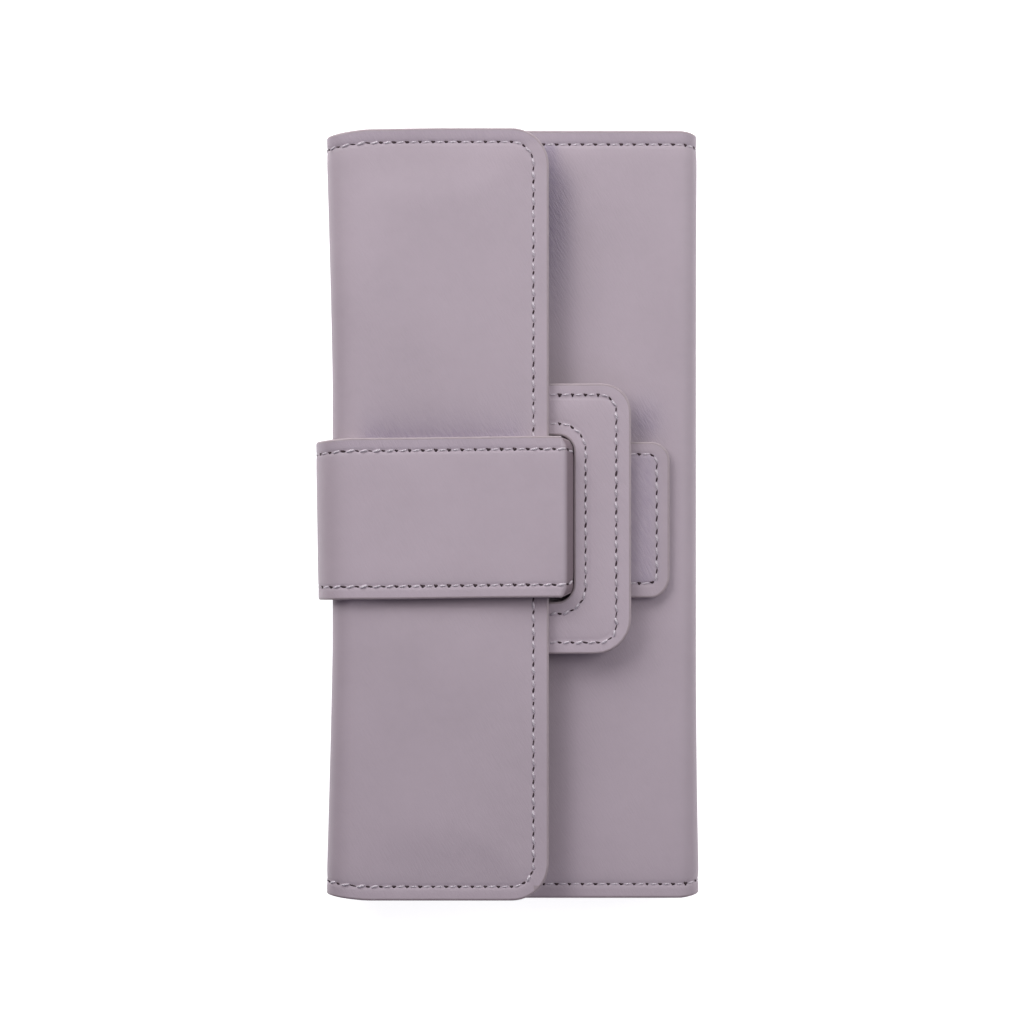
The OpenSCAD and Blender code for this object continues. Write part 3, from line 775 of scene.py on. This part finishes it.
# Materials of a sheet's face, painted edge and back, and of a row's thread and holes
SKIN = (outer_leather, painted_edge, back_leather)
STRAP_FACE = (strap_leather, painted_edge, strap_leather)
STRAP_BACK = (back_leather, painted_edge, back_leather)
POCKET = (inner_leather, painted_edge, back_leather)
LINING = (lining_cloth,) * 3
SEWN = (thread_colour, painted_hole_shade)


def finish_piece(obj, slot, body=None, blend=None, stands_for=()):
    """Parents a piece to the empty of its body, or bakes its transform where it blends between two bodies,
    and hides the nodes it stands for. slot is not used.
    """
    if blend:
        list(blend)
        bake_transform(obj)
    else:
        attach(obj, body)
    if stands_for:
        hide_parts(*stands_for)


def at(x, z):
    """Point of the section in metres, for a blend."""
    return (x * MM, 0, z * MM)


# How the skins bend: bodies, and where the turn between them starts and ends
LOW_BEND_Z = BACK_Z + CORNER_R
HIGH_BEND_Z = FLAP_Z - CORNER_R
SPINE_BLEND = ("back", "spine", at(BEND_X, BACK_Z), at(SPINE_X, LOW_BEND_Z))
FLAP_BLEND = ("spine", "flap", at(SPINE_X, HIGH_BEND_Z), at(BEND_X, FLAP_Z))
FRONT_BLEND = ("back", "front", at(0, BACK_Z + FOLD_R), at(0, low("lining_front")[Z]))
STRAP_LOW_BLEND = ("back", "spine", at(BEND_X, 0), at(STRAP_LEFT, STRAP_R))
STRAP_HIGH_BLEND = ("spine", "flap", at(STRAP_LEFT, STRAP_TOP_Z - STRAP_R), at(BEND_X, STRAP_TOP_Z))

# The outer leather is one skin from the free edge of the front to the free edge of the flap
skin = Path(FRONT_X, FRONT_Z, 0)
s_front = skin.line(FOLD_BEND_X - FRONT_X)
s_fold_top = skin.turn(FOLD_R, -90)
s_fold_low = skin.line(FRONT_Z - BACK_Z - 2 * FOLD_R)
s_back = skin.turn(FOLD_R, -90)
s_back_end = skin.line(FOLD_BEND_X - BEND_X)
s_web = skin.turn(CORNER_R, -90)
s_web_end = skin.line(HIGH_BEND_Z - LOW_BEND_Z)
s_flap = skin.turn(CORNER_R, -90)
s_end = skin.line(FLAP_X - BEND_X)
s_mid_web = (s_web + s_web_end) / 2
SKIN_BENDS = (s_front, s_fold_top, s_fold_low, s_back, s_back_end, s_web, s_web_end, s_flap)


def back_s(x):
    """Length along the skin at a place on the back."""
    return s_back + FOLD_BEND_X - x


s_mid_back = back_s(0)


def lining_depth(s):
    """Depth of the lining's face under the leather's face, along the skin."""
    panel = SHELL_T + BOARD_T
    return np.interp(s, [s_front, s_fold_top, s_fold_low, s_back, s_back_end, s_web],
                     [panel, SHELL_T, SHELL_T, LINING_DEPTH, LINING_DEPTH, panel])


def skin_pad(s, y):
    """Fullness of the flap over its board: it fades out at the bend, the edge and the strap."""
    middle = STRAP_Y + STRAP_RISE / 2
    strap_gap = np.maximum(np.abs(y - middle) - STRAP_HALF - STRAP_RISE / 2, 0)
    return rise(s, s_flap - 2, 14) * rise(s, s_end, -10) * (1 - np.exp(-strap_gap / DENT))


def skin_violet_shade(s, y):
    """Painted violet shade above the strap, painted violet shadow beside the flap's upper edge and above
    the tip, and painted violet shade on the upper margin.
    """
    x = s + FRONT_X
    inside = HALF_L - SEAM - y
    above_strap = np.exp(-np.maximum(y - STRAP_HIGH_Y, 0) / 3.5) * (y > STRAP_HIGH_Y - 2)
    above_strap *= rise(s, s_flap, 5) * rise(s, s_end - 3, -6)
    reach = 3.5 + 5.5 * smooth(inside / 12)
    beside_flap = rise(x, FLAP_X - 3, 2) * rise(x, FLAP_X + reach, -reach)
    beside_flap *= rise(y, 35, 40) * rise(inside, -0.75, 1.5)
    above_tip = bell(x - LOOP_HIGH[X] - 3, 4.5) * bell(y - STRAP_HIGH_Y - 4, 5.5)
    return (VIOLET_SHADE_ABOVE_STRAP * above_strap + VIOLET_SHADOW_BESIDE_FLAP * beside_flap
            + VIOLET_SHADOW_ABOVE_TIP * above_tip + VIOLET_SHADE_MARGIN * rise(inside, 0.5, -1))


def skin_painted_shade(s, y):
    """Painted shade at the bends of the spine and the fold, painted shadow below the strap and beside the
    flap's edge, and painted shade towards the flap's upper end.
    """
    x = s + FRONT_X
    on_flap = rise(s, s_flap, 12)
    spine = bell(s - s_flap + 3.2, 2.6) + bell(s - s_web + 3.2, 2.6)
    fold = bell(s - s_front - 3.0, 1.9) + bell(s - s_back + 3.0, 1.9)
    below_strap = np.exp(-np.maximum(STRAP_LOW_Y - y, 0) / 2.2) * on_flap * (y < STRAP_LOW_Y + 2)
    beside_flap = rise(x, FLAP_X - 3, 2) * rise(x, FLAP_X + 7.5, -5) * rise(y, STRAP_HIGH_Y + 50, -40)
    return (PAINTED_SHADE_SPINE * spine + PAINTED_SHADE_FOLD * fold + PAINTED_SHADOW_BELOW_STRAP * below_strap
            + PAINTED_SHADOW_BESIDE_FLAP * beside_flap + PAINTED_SHADE_UPPER_END * on_flap * rise(y, HALF_L - 16, 10))


def skin_top(s, y, d):
    margin = MARGIN_DROP * (rise(d, SEAM, 3.5) - 1)
    full = PAD * skin_pad(s, y) * rise(d, SEAM, 16)
    return rounding(d, EDGE, EDGE_DROP) + groove(d, SEAM) + margin + full


def skin_bottom(s, y, d):
    inset = rise(d, SEAM_W - 0.6, 0.6)
    return -lining_depth(s) * (1 - inset) - SHELL_T * inset - rounding(d, EDGE, BACK_EDGE)


def lining_top(s, y, d):
    return -lining_depth(s) - 0.01 - 0.05 * smooth(d / 4)


def lining_bottom(s, y, d):
    return -lining_depth(s) - LINING_T - rounding(d, THIN_EDGE, 0.15)


# Parts of the skin and the lining: span, free sides, radii at both ends, blend, nodes and step
skin_parts = (
    ("front", (0, s_mid_back), "SLH", (FRONT_CORNER_R, 0), FRONT_BLEND, ("front", "fold", "back"), 1.5),
    ("back", (s_mid_back, s_mid_web), "LH", (0, 0), SPINE_BLEND, ("back", "spine"), 1.2),
    ("flap", (s_mid_web, s_end), "ELH", (0, FLAP_CORNER_R), FLAP_BLEND, ("spine", "flap"), 1.2),
)
for part, span, free, radii, blend, nodes, step in skin_parts:
    # The skin's colour gets painted shade and shadows from its marks
    piece = sheet("skin_" + part, skin, span, (-HALF_L, HALF_L), SKIN, skin_top, skin_bottom, free,
                  *radii, seams=(SEAM,), step=(step, 1.6), extra_s=SKIN_BENDS,
                  end_scale=SEAM / FLAP_SEAM, marks={"violet_shade": skin_violet_shade, "painted_shade": skin_painted_shade})
    finish_piece(piece, "leather_outer", blend=blend, stands_for=["shell_" + node for node in nodes])

# Stiffening boards: their axis, where it starts along the skin, its direction there, and radii
BOARD_GAP = 0.02
for body, axis, start, way, radii in (
    ("front", X, -FRONT_X, 1, (3, 0)),
    ("back", X, s_mid_back, -1, (0, 0)),
    ("spine", Z, s_web - LOW_BEND_Z, 1, (0, 0)),
    ("flap", X, s_flap - BEND_X, 1, (0, 5)),
):
    node = "board_" + body
    span = sorted(start + way * corner[axis] for corner in (low(node), high(node)))
    piece = sheet("card_" + body, skin, span, (low(node)[Y], high(node)[Y]), (cardboard,) * 3,
                  level_side(-SHELL_T - BOARD_GAP, THIN_EDGE, 0.1),
                  level_side(BOARD_GAP - SHELL_T - BOARD_T, THIN_EDGE, 0.1, -1),
                  "SELH", *radii, edge=THIN_EDGE, paint=0)
    finish_piece(piece, "board", body=body, stands_for=(node,))

zip_low, zip_high = low("zip_tapes"), high("zip_tapes")
zip_hole = (back_s(zip_high[X]), back_s(zip_low[X]), zip_low[Y], zip_high[Y])
for part, span, free, radii, blend, nodes, _ in skin_parts:
    inner = (span[0] + TURN_IN * ("S" in free), span[1] - TURN_IN * ("E" in free))
    piece = sheet(f"lining_{part}_panel", skin, inner, (-HALF_L + TURN_IN, HALF_L - TURN_IN), LINING,
                  lining_top, lining_bottom, free, *(max(r - TURN_IN, 0) for r in radii),
                  edge=THIN_EDGE, paint=0, hole=zip_hole if part == "back" else None)
    finish_piece(piece, "lining", blend=blend, stands_for=["lining_" + node for node in nodes])


def skin_tight(s, y):
    """Stitches are pulled tight where the leather bends round the spine."""
    return bell(s - s_flap - 1, 8) + bell(s - s_web, 8)


def skin_seam(name, line, blend, inside=None):
    """Row of stitches on the leather, and on the lining along the line where it shows inside."""
    rows = stitches(name, skin, line, 0.02 - GROOVE - MARGIN_DROP, tight=skin_tight)
    finish_piece(rows, "leather_outer", blend=blend)
    if inside is not None:
        rows = stitches(name + "_inside", skin, inside, lambda s: -lining_depth(s) - LINING_T, -1)
        finish_piece(rows, "lining", blend=blend)


end_y = HALF_L - SEAM
skin_seam("seam_front", u_line(s_mid_back, SEAM, -end_y, end_y, FRONT_CORNER_R - SEAM), FRONT_BLEND)
for side_name, side_y in (("high", end_y), ("low", -end_y)):
    row, row_inside = (np.array([(first, side_y), (s_mid_web, side_y)])
                       for first in (s_mid_back, back_s(FRONT_X + TURN_IN)))
    skin_seam("seam_back_" + side_name, row, SPINE_BLEND, row_inside)
row = u_line(s_mid_web, s_end - FLAP_SEAM, -end_y, end_y, FLAP_CORNER_R - FLAP_SEAM)
skin_seam("seam_flap", row, FLAP_BLEND, row)

# The strap is one path between its two plies, from its sewn end under the back to its tip
strap = Path(STRAP_END_X, PLY_T, 180)
strap.line(STRAP_END_X - BEND_X)
t_web = strap.turn(STRAP_R - PLY_T, -90)
t_web_end = strap.line(STRAP_TOP_Z - 2 * STRAP_R)
t_top = strap.turn(STRAP_R - PLY_T, -90)
slope = math.radians(DIVE_SLOPE)
wall_length = LOOP_HIGH[Z] - TIP_Z - PLY_T - DIVE_FOOT_R - DIVE_DEPTH
slope_drop = STRAP_TOP_Z - TIP_Z - 2 * PLY_T - DIVE_R - wall_length - DIVE_FOOT_R
slope_length = slope_drop / math.sin(slope)
wall_x = SLOT_X - SLOT_GAP - PLY_T
t_dive = strap.line(wall_x - DIVE_R - slope_length * math.cos(slope) - BEND_X)
t_drop = strap.turn(DIVE_R, -DIVE_SLOPE)
t_slope_end = strap.line(slope_length)
t_wall = strap.turn(DIVE_R, DIVE_SLOPE - 90)
t_wall_end = strap.line(wall_length)
t_foot = strap.turn(DIVE_FOOT_R, 90)
t_end = strap.line(TIP_X + STRAP_STRETCH - wall_x - DIVE_FOOT_R)
t_mid_web = (t_web + t_web_end) / 2
STRAP_BENDS = (t_web, t_web_end, t_top, t_dive, t_drop, t_slope_end, t_wall, t_wall_end, t_foot,
               *np.linspace(t_dive, t_foot, DIVE_LINES))


def strap_shape(s, y):
    """The strap climbs a little, and is narrower from its dive through the loop to its end."""
    narrow = STRAP_NARROWING * rise(s, t_drop, t_wall - t_drop)
    leave = rise(s, t_wall_end, t_foot - t_wall_end + 2)
    climb = STRAP_RISE * rise(s, t_top, t_dive - t_top) * (1 - leave)
    spread_low = STRAP_SPREAD * leave * rise(y, STRAP_LOW_Y + STRAP_SEAM, -STRAP_SEAM)
    return STRAP_Y + climb + (y - STRAP_Y) * (1 - narrow / STRAP_HALF) - spread_low


def strap_curl(s, y):
    """Depth by which the strap's sides curl back, so that they clear the round corners of the slot."""
    radius = np.where(y < STRAP_Y, SLOT_LOW_R, SLOT_HIGH_R)
    room = np.clip(SLOT_L / 2 - np.abs(y - STRAP_Y), 0, radius)
    depth = radius - np.sqrt(radius**2 - (radius - room) ** 2)
    return depth * rise(s, t_dive, t_drop - t_dive) * (1 - rise(s, t_wall_end - 0.8, 1.4))


def strap_end(s):
    return rise(s, t_end - 22, 12)


def tip_within(s, y):
    """The strap's end within its seam."""
    half = STRAP_HALF - STRAP_NARROWING - STRAP_SEAM
    across = smooth(half - np.abs(y - STRAP_Y) + 0.5)
    return strap_end(s) * across * rise(s, t_end - STRAP_SEAM + 2, -4)


def strap_violet_shade(s, y):
    """Painted violet shadow of the loop on the strap's end within its seam, and painted violet shade on its
    upper margin before the dive.
    """
    margin = rise(y, STRAP_HIGH_Y - STRAP_SEAM, 0.6) * rise(s, t_dive, -25)
    return VIOLET_SHADOW_TIP * tip_within(s, y) + VIOLET_SHADE_STRAP_MARGIN * margin


def strap_painted_shade(s, y):
    """Painted shade where the strap bends round the spine and in its dive, and on the margin at its end."""
    bends = bell(s - t_top + 6, 4.0) + bell(s - t_web + 6, 4.0)
    dive = rise(s, t_drop - 0.7, 1.2) * rise(s, t_foot + 2, -2)
    margin = strap_end(s) - tip_within(s, y)
    return PAINTED_SHADE_STRAP_BENDS * bends + PAINTED_SHADE_DIVE * dive + PAINTED_SHADE_TIP_MARGIN * margin


def strap_ply(name, face, span, free, radii, blend, stands_for, slot):
    """One ply of the strap: its outer face, or its back."""

    def top(s, y, d):
        margin = STRAP_MARGIN_DROP * (1 - rise(d, STRAP_SEAM, 3))
        outside = PLY_T + rounding(d, EDGE, EDGE_DROP) + groove(d, STRAP_SEAM) - margin
        return (outside if face else rounding(d, *PLY_EDGE)) - strap_curl(s, y)

    def bottom(s, y, d):
        outside = -PLY_T - rounding(d, EDGE, EDGE_DROP)
        return (-rounding(d, *PLY_EDGE) if face else outside) - strap_curl(s, y)

    # The strap's colour gets painted shade and shadows from its marks
    piece = sheet(name, strap, span, (STRAP_LOW_Y, STRAP_HIGH_Y), STRAP_FACE if face else STRAP_BACK,
                  top, bottom, free, *radii, seams=(STRAP_SEAM,), step=(1.0, 1.6), extra_s=STRAP_BENDS,
                  shape=strap_shape, lie=settle_strap, marks={"violet_shade": strap_violet_shade, "painted_shade": strap_painted_shade})
    finish_piece(piece, slot, blend=blend, stands_for=stands_for)


for part, *layout, face_nodes, back_node, back_slot in (
    ("low", (0, t_mid_web), "SLH", (TIP_R, 0), STRAP_LOW_BLEND,
     ("strap_back_run", "strap_spine"), "strap_back_run", "leather_strap"),
    ("high", (t_mid_web, t_end), "ELH", (0, TIP_R), STRAP_HIGH_BLEND,
     ("strap_spine", "strap_top_outer"), "strap_top_lining", "leather_inner"),
):
    strap_ply(f"strap_{part}_face", True, *layout, face_nodes, "leather_strap")
    strap_ply(f"strap_{part}_back", False, *layout, (back_node,), back_slot)


def strap_tight(s, y):
    """Stitches are pulled tight where the strap leaves the spine and where it dives."""
    dive = rise(s, t_dive - 12, 6) * (1 - 0.75 * rise(s, t_wall, 3))
    return np.maximum(bell(s - t_top - 3, 9), 0.5 * dive)


for suffix, level, side in (("", PLY_T - GROOVE, 1), ("_inside", -PLY_T, -1)):
    for part, end, blend in (("high", t_end - STRAP_SEAM, STRAP_HIGH_BLEND),
                             ("low", STRAP_SEAM, STRAP_LOW_BLEND)):
        row = u_line(t_mid_web, end, STRAP_LOW_Y + STRAP_SEAM, STRAP_HIGH_Y - STRAP_SEAM,
                     TIP_R - STRAP_SEAM + 0.6)
        row_length = lengths(row)[-1]
        row = on_line(row, np.linspace(0, row_length, round(row_length)))
        row[:, 1] = strap_shape(row[:, 0], row[:, 1])
        rows = stitches(f"seam_strap_{part}{suffix}", strap, row, level, side, settle_strap, strap_tight)
        finish_piece(rows, "leather_strap", blend=blend)

# The loop
LOOP_SEAM = 3.4
LOOP_ROW_RIGHT = 3.7
LOOP_ROW_LOW = 2.85
LOOP_ROW_HIGH = 2.75
LOOP_ROW_R = 4.2
SLOT_SEAM = 2.9
SLOT_ROW_R = 6.6
ROW_LIFT = 0.06
loop_box = (LOOP_LOW[X], LOOP_HIGH[X], LOOP_LOW[Y], LOOP_HIGH[Y],
            (LOOP_BOTTOM_R, LOOP_TOP_R, HIDDEN_R, HIDDEN_R))
slot_box = (SLOT_X - SLOT_W, SLOT_X, SLOT_LOW_Y, SLOT_HIGH_Y,
            (SLOT_LOW_R, SLOT_HIGH_R, HIDDEN_R, HIDDEN_R))
for name, node, materials, lower, upper, slot in (
    ("loop_face", "loop_outer", STRAP_FACE, LOOP_LOW[Z], LOOP_HIGH[Z], "leather_strap"),
    ("loop_back", "loop_lining", STRAP_BACK, LOOP_BOTTOM_Z, LOOP_LOW[Z], "leather_inner"),
):
    piece = slotted_sheet(name, loop_box, slot_box, materials, upper, lower, LOOP_SEAM)
    finish_piece(piece, slot, body="flap", stands_for=(node,))


def loop_tight(s, y):
    """Stitches are pulled tight along the lower half of the loop."""
    return 0.7 * rise(y, STRAP_Y - 16, -6)


loop_path = flat_path(0, 0)
for name, last, low_y, high_y, radius in (
    ("seam_loop", LOOP_HIGH[X] - LOOP_ROW_RIGHT, LOOP_LOW[Y] + LOOP_ROW_LOW,
     LOOP_HIGH[Y] - LOOP_ROW_HIGH, LOOP_ROW_R),
    ("seam_slot", SLOT_X + SLOT_SEAM, SLOT_LOW_Y - SLOT_SEAM, SLOT_HIGH_Y + SLOT_SEAM, SLOT_ROW_R),
):
    row = u_line(LOOP_LOW[X] + 2, last, low_y, high_y, radius)
    rows = stitches(name, loop_path, row, LOOP_HIGH[Z] - ROW_LIFT, tight=loop_tight)
    finish_piece(rows, "leather_strap", body="flap")
    rows = stitches(name + "_inside", loop_path, row, LOOP_BOTTOM_Z + ROW_LIFT, -1)
    finish_piece(rows, "leather_inner", body="flap")

# Card pockets, divider and slip pocket
POCKET_EDGE = 0.4
POCKET_SEAM = 1.8
MOUTH_R = 3.0
SPLIT_W = 0.8


def pocket(name, node, up, body, radius=MOUTH_R, seam=POCKET_SEAM, split=True, mouth="S"):
    """Pocket of thin leather, with a turned mouth, a row of stitches and a seam between two cards."""
    first, last = low(node), high(node)
    start = first if up else last
    path = flat_path(start[X], start[Z], up)
    reach, _, thick = last - first

    def top(s, y, d):
        cut = 0.6 * thick * bell(y, SPLIT_W) if split else 0
        return thick + rounding(d, POCKET_EDGE, 0.6 * thick) + groove(d, seam, 0.08) - cut

    piece = sheet(name, path, (0, reach), (first[Y], last[Y]), POCKET, top,
                  level_side(0, POCKET_EDGE, 0.2 * thick, -1), start_r=radius * (mouth == "S"),
                  end_r=radius * (mouth == "E"), edge=POCKET_EDGE, paint=POCKET_EDGE, seams=(seam,),
                  step=(2.0, 2.4), extra_y=SPLIT_W * np.arange(-2, 3) if split else ())
    finish_piece(piece, "leather_inner", body=body, stands_for=(node,))
    open_s, mouth_s = (reach - seam, seam) if mouth == "S" else (seam, reach - seam)
    side_y = last[Y] - seam
    row = u_line(open_s, mouth_s, -side_y, side_y, max(radius - seam, 0.6))
    rows = stitches(name + "_seam", path, row, thick - 0.1)
    finish_piece(rows, "leather_inner", body=body)


for k in (1, 2, 3):
    pocket(f"pocket_back_{k}", f"card_pocket_back_{k}", True, "back")
for k in (1, 2):
    pocket(f"pocket_front_{k}", f"card_pocket_front_{k}", False, "front", mouth="E")
pocket("divider_sheet", "divider_panel", True, "divider", radius=6.0, seam=2.2, split=False)
pocket("divider_slip", "divider_pocket", True, "divider", split=False)
pocket("flap_slip", "flap_slip_pocket", False, "flap", split=False)

GUSSET_ROWS = 60
GUSSET_WEAVE = 0.3


def gusset(name, side):
    """Cloth gusset that folds inwards between the back and the front at one end."""
    seam = high("gusset_leaf_back")[Y] - 0.3
    wall = high("card_pocket_back_1")[Y] + 0.4
    first, last = FRONT_X + TURN_IN, FOLD_BEND_X
    apex_first = high("divider_panel")[Y] + 1.0
    apex_last = wall - 0.2
    (back_low, back_high), (front_low, front_high) = (
        (low(node)[Z] + LINING_T / 2, high(node)[Z] - LINING_T / 2)
        for node in ("gusset_leaf_back", "gusset_leaf_front"))
    middle = (back_high + front_low) / 2
    xs = np.linspace(first, last, GUSSET_ROWS)
    rows = []
    for x in xs:
        inward = max(FRONT_CORNER_R - (x - FRONT_X), 0)
        corner_y = HALF_L - FRONT_CORNER_R + math.sqrt(FRONT_CORNER_R**2 - inward**2)
        front_seam = max(min(seam, corner_y - TURN_IN), wall + 0.7)
        apex = apex_first + (apex_last - apex_first) * (x - first) / (last - first)
        line = np.array([(seam, back_low), (wall + 0.6, back_low), (wall, back_high),
                         (apex + 0.6, back_high), (apex, middle), (apex + 0.6, front_low),
                         (wall, front_low), (wall + 0.6, front_high), (front_seam, front_high)])
        for _ in range(3):
            near, far = line[:-1], line[1:]
            cut = np.stack([0.75 * near + 0.25 * far, 0.25 * near + 0.75 * far], axis=1)
            line = np.concatenate([line[:1], cut.reshape(-1, 2), line[-1:]])
        way = np.gradient(line, axis=0)
        way /= np.linalg.norm(way, axis=1, keepdims=True)
        normal = np.stack([way[:, 1], -way[:, 0]], axis=-1) * LINING_T / 2
        rows.append(np.concatenate([line + normal, (line - normal)[::-1]]))
    rows = np.array(rows)
    count, size = rows.shape[:2]
    half = size // 2
    points = np.stack([np.repeat(xs, size), side * rows[:, :, 0].ravel(), rows[:, :, 1].ravel()], axis=-1)
    ids = np.arange(count * size).reshape(count, size)
    turned = np.roll(ids, -1, axis=1)
    faces = np.stack([ids[:-1], turned[:-1], turned[1:], ids[1:]], axis=-1).reshape(-1, 4)
    caps = [(row[k], row[k + 1], row[size - 2 - k], row[size - 1 - k])
            for row in (ids[0], ids[-1]) for k in range(half - 1)]
    around = np.tile(np.concatenate([np.arange(half), np.arange(half)[::-1]]) * GUSSET_WEAVE, count)
    flat = np.stack([points[:, 0], around, np.zeros(len(points))], axis=-1)
    piece = new_object(name, points, np.concatenate([faces, caps]), LINING[:1], None, flat)
    finish_piece(piece, "lining", blend=("back", "front", at(0, back_low), at(0, front_high)),
                 stands_for=("gusset_leaf_back", "gusset_leaf_front"))


gusset("gusset_high", 1)
gusset("gusset_low", -1)

SLIT = 0.5
TAPE_EDGE = 0.2
tape_t = zip_high[Z] - zip_low[Z]
zip_middle = (zip_low[X] + zip_high[X]) / 2


def zip_tape(name, left, right):
    """Woven tape with a thicker cord along the slit."""

    def top(s, y, d):
        gap = np.abs(left + s - zip_middle) - SLIT
        return tape_t + 0.1 * bell(gap - 0.5, 0.4) + rounding(d, TAPE_EDGE, 0.1)

    piece = sheet(name, flat_path(left, zip_low[Z]), (0, right - left), (zip_low[Y], zip_high[Y]),
                  (tape_cloth,) * 3, top, level_side(0, TAPE_EDGE, 0.1, -1), edge=TAPE_EDGE, paint=0,
                  step=(0.3, 2.0))
    finish_piece(piece, "zip_tape", body="back", stands_for=("zip_tapes",))


zip_tape("zip_tape_left", zip_low[X], zip_middle - SLIT)
zip_tape("zip_tape_right", zip_middle + SLIT, zip_high[X])

BAG_EDGE = 0.4
bag_low, bag_high = low("coin_bag"), high("coin_bag")
bag_w, _, bag_t = bag_high - bag_low


def bag_top(s, y, d):
    """The bag is thinner on its left, under the zip."""
    return bag_t * (0.5 + 0.5 * rise(s, 8, 4)) - 0.02 + rounding(d, BAG_EDGE, 0.3)


bag = sheet("coin_bag_cloth", flat_path(bag_low[X], bag_low[Z]), (0, bag_w), (bag_low[Y], bag_high[Y]),
            LINING, bag_top, level_side(0, BAG_EDGE, 0.1, -1), edge=BAG_EDGE, paint=0, step=(3.0, 4.0),
            end_r=4)
finish_piece(bag, "lining", body="back", stands_for=("coin_bag",))

# Rigid pieces keep their CAD shape and get a finish and softened edges
for node, material, bevel in (
    ("zip_teeth", brass, 0.14), ("zip_stops", brass, 0.15), ("zip_slider", brass, 0.15),
    ("zip_pull", brass, 0.12), ("snap_plate", steel, 0), ("snap_magnet", steel, 0),
):
    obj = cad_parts[node]
    obj.data.materials.clear()
    obj.data.materials.append(material)
    if bevel:
        softened = obj.modifiers.new("softened", "BEVEL")
        softened.width = bevel * MM
        softened.segments = 2
        softened.limit_method = "ANGLE"

# Floor, light and camera
FLOOR_HALF = 2.0
FLOOR_GLOW = 0.85
FLOOR_Z = -0.5 * MM
floor_mesh = bpy.data.meshes.new("floor")
floor_corners = [(i * FLOOR_HALF, k * FLOOR_HALF, FLOOR_Z) for i, k in ((-1, -1), (1, -1), (1, 1), (-1, 1))]
floor_mesh.from_pydata(floor_corners, [], [(0, 1, 2, 3)])
floor = in_scene("floor", floor_mesh)
nodes = Nodes("floor")
nodes.set(Base_Color=(0.8, 0.8, 0.8, 1), Roughness=0.9)
glow = nodes.add("ShaderNodeEmission", Color=(1, 1, 1, 1))
seen = nodes.add("ShaderNodeLightPath").outputs
glossy = nodes.math("MAXIMUM", seen["Is Glossy Ray"], seen["Is Transmission Ray"])
rays = nodes.math("MAXIMUM", seen["Is Camera Ray"], glossy)
nodes.link(nodes.math("MULTIPLY", rays, FLOOR_GLOW), glow.inputs["Strength"])
total = nodes.add("ShaderNodeAddShader")
nodes.link(nodes.shader.outputs["BSDF"], total.inputs[0])
nodes.link(glow.outputs["Emission"], total.inputs[1])
nodes.link(total.outputs["Shader"], nodes.output.inputs["Surface"])
floor_mesh.materials.append(nodes.material)

SKY = 0.07
world = bpy.data.worlds.new("studio")
bpy.context.scene.world = world
world.use_nodes = True
sky = world.node_tree.nodes["Background"]
sky.inputs["Color"].default_value = (0.85, 0.75, 1.0, 1)
sky.inputs["Strength"].default_value = SKY


def lamp(name, place, size, power, colour=(1, 1, 1)):
    """Soft rectangular lamp that faces the wallet."""
    data = bpy.data.lights.new(name, "AREA")
    data.shape = "RECTANGLE"
    data.size, data.size_y = size
    data.energy = power
    data.color = colour
    obj = in_scene(name, data)
    obj.location = place
    x, y, z = place
    obj.rotation_euler = (math.atan2(math.hypot(x, y), z), 0, math.atan2(x, -y))


lamp("lamp_top", (-0.05, 0.75, 0.36), (1.1, 0.45), 4.7, (0.97, 0.99, 1.0))
lamp("lamp_left", (-0.5, 0.5, 0.4), (0.6, 0.5), 4.2)
lamp("lamp_right", (0.58, 0.2, 0.5), (0.5, 0.6), 3.0)
lamp("lamp_low", (0.0, -0.6, 0.5), (0.9, 0.5), 0.7, (0.85, 0.8, 1.0))

PHOTO_SIDE = 1024
WALLET_PX = 773
CENTRE_PX = (507.0, 514.3)
CAMERA_REACH = 950.0
px = 2 * HALF_L / WALLET_PX
data = bpy.data.cameras.new("camera")
data.sensor_width = 36
data.lens = data.sensor_width * CAMERA_REACH / (PHOTO_SIDE * px)
data.clip_end = 10
camera = in_scene("camera", data)
camera.location = ((PHOTO_SIDE / 2 - CENTRE_PX[0]) * px * MM, (CENTRE_PX[1] - PHOTO_SIDE / 2) * px * MM,
                   (CAMERA_REACH + FLAP_Z) * MM)
bpy.context.scene.camera = camera
bpy.context.scene.view_settings.view_transform = "Standard"
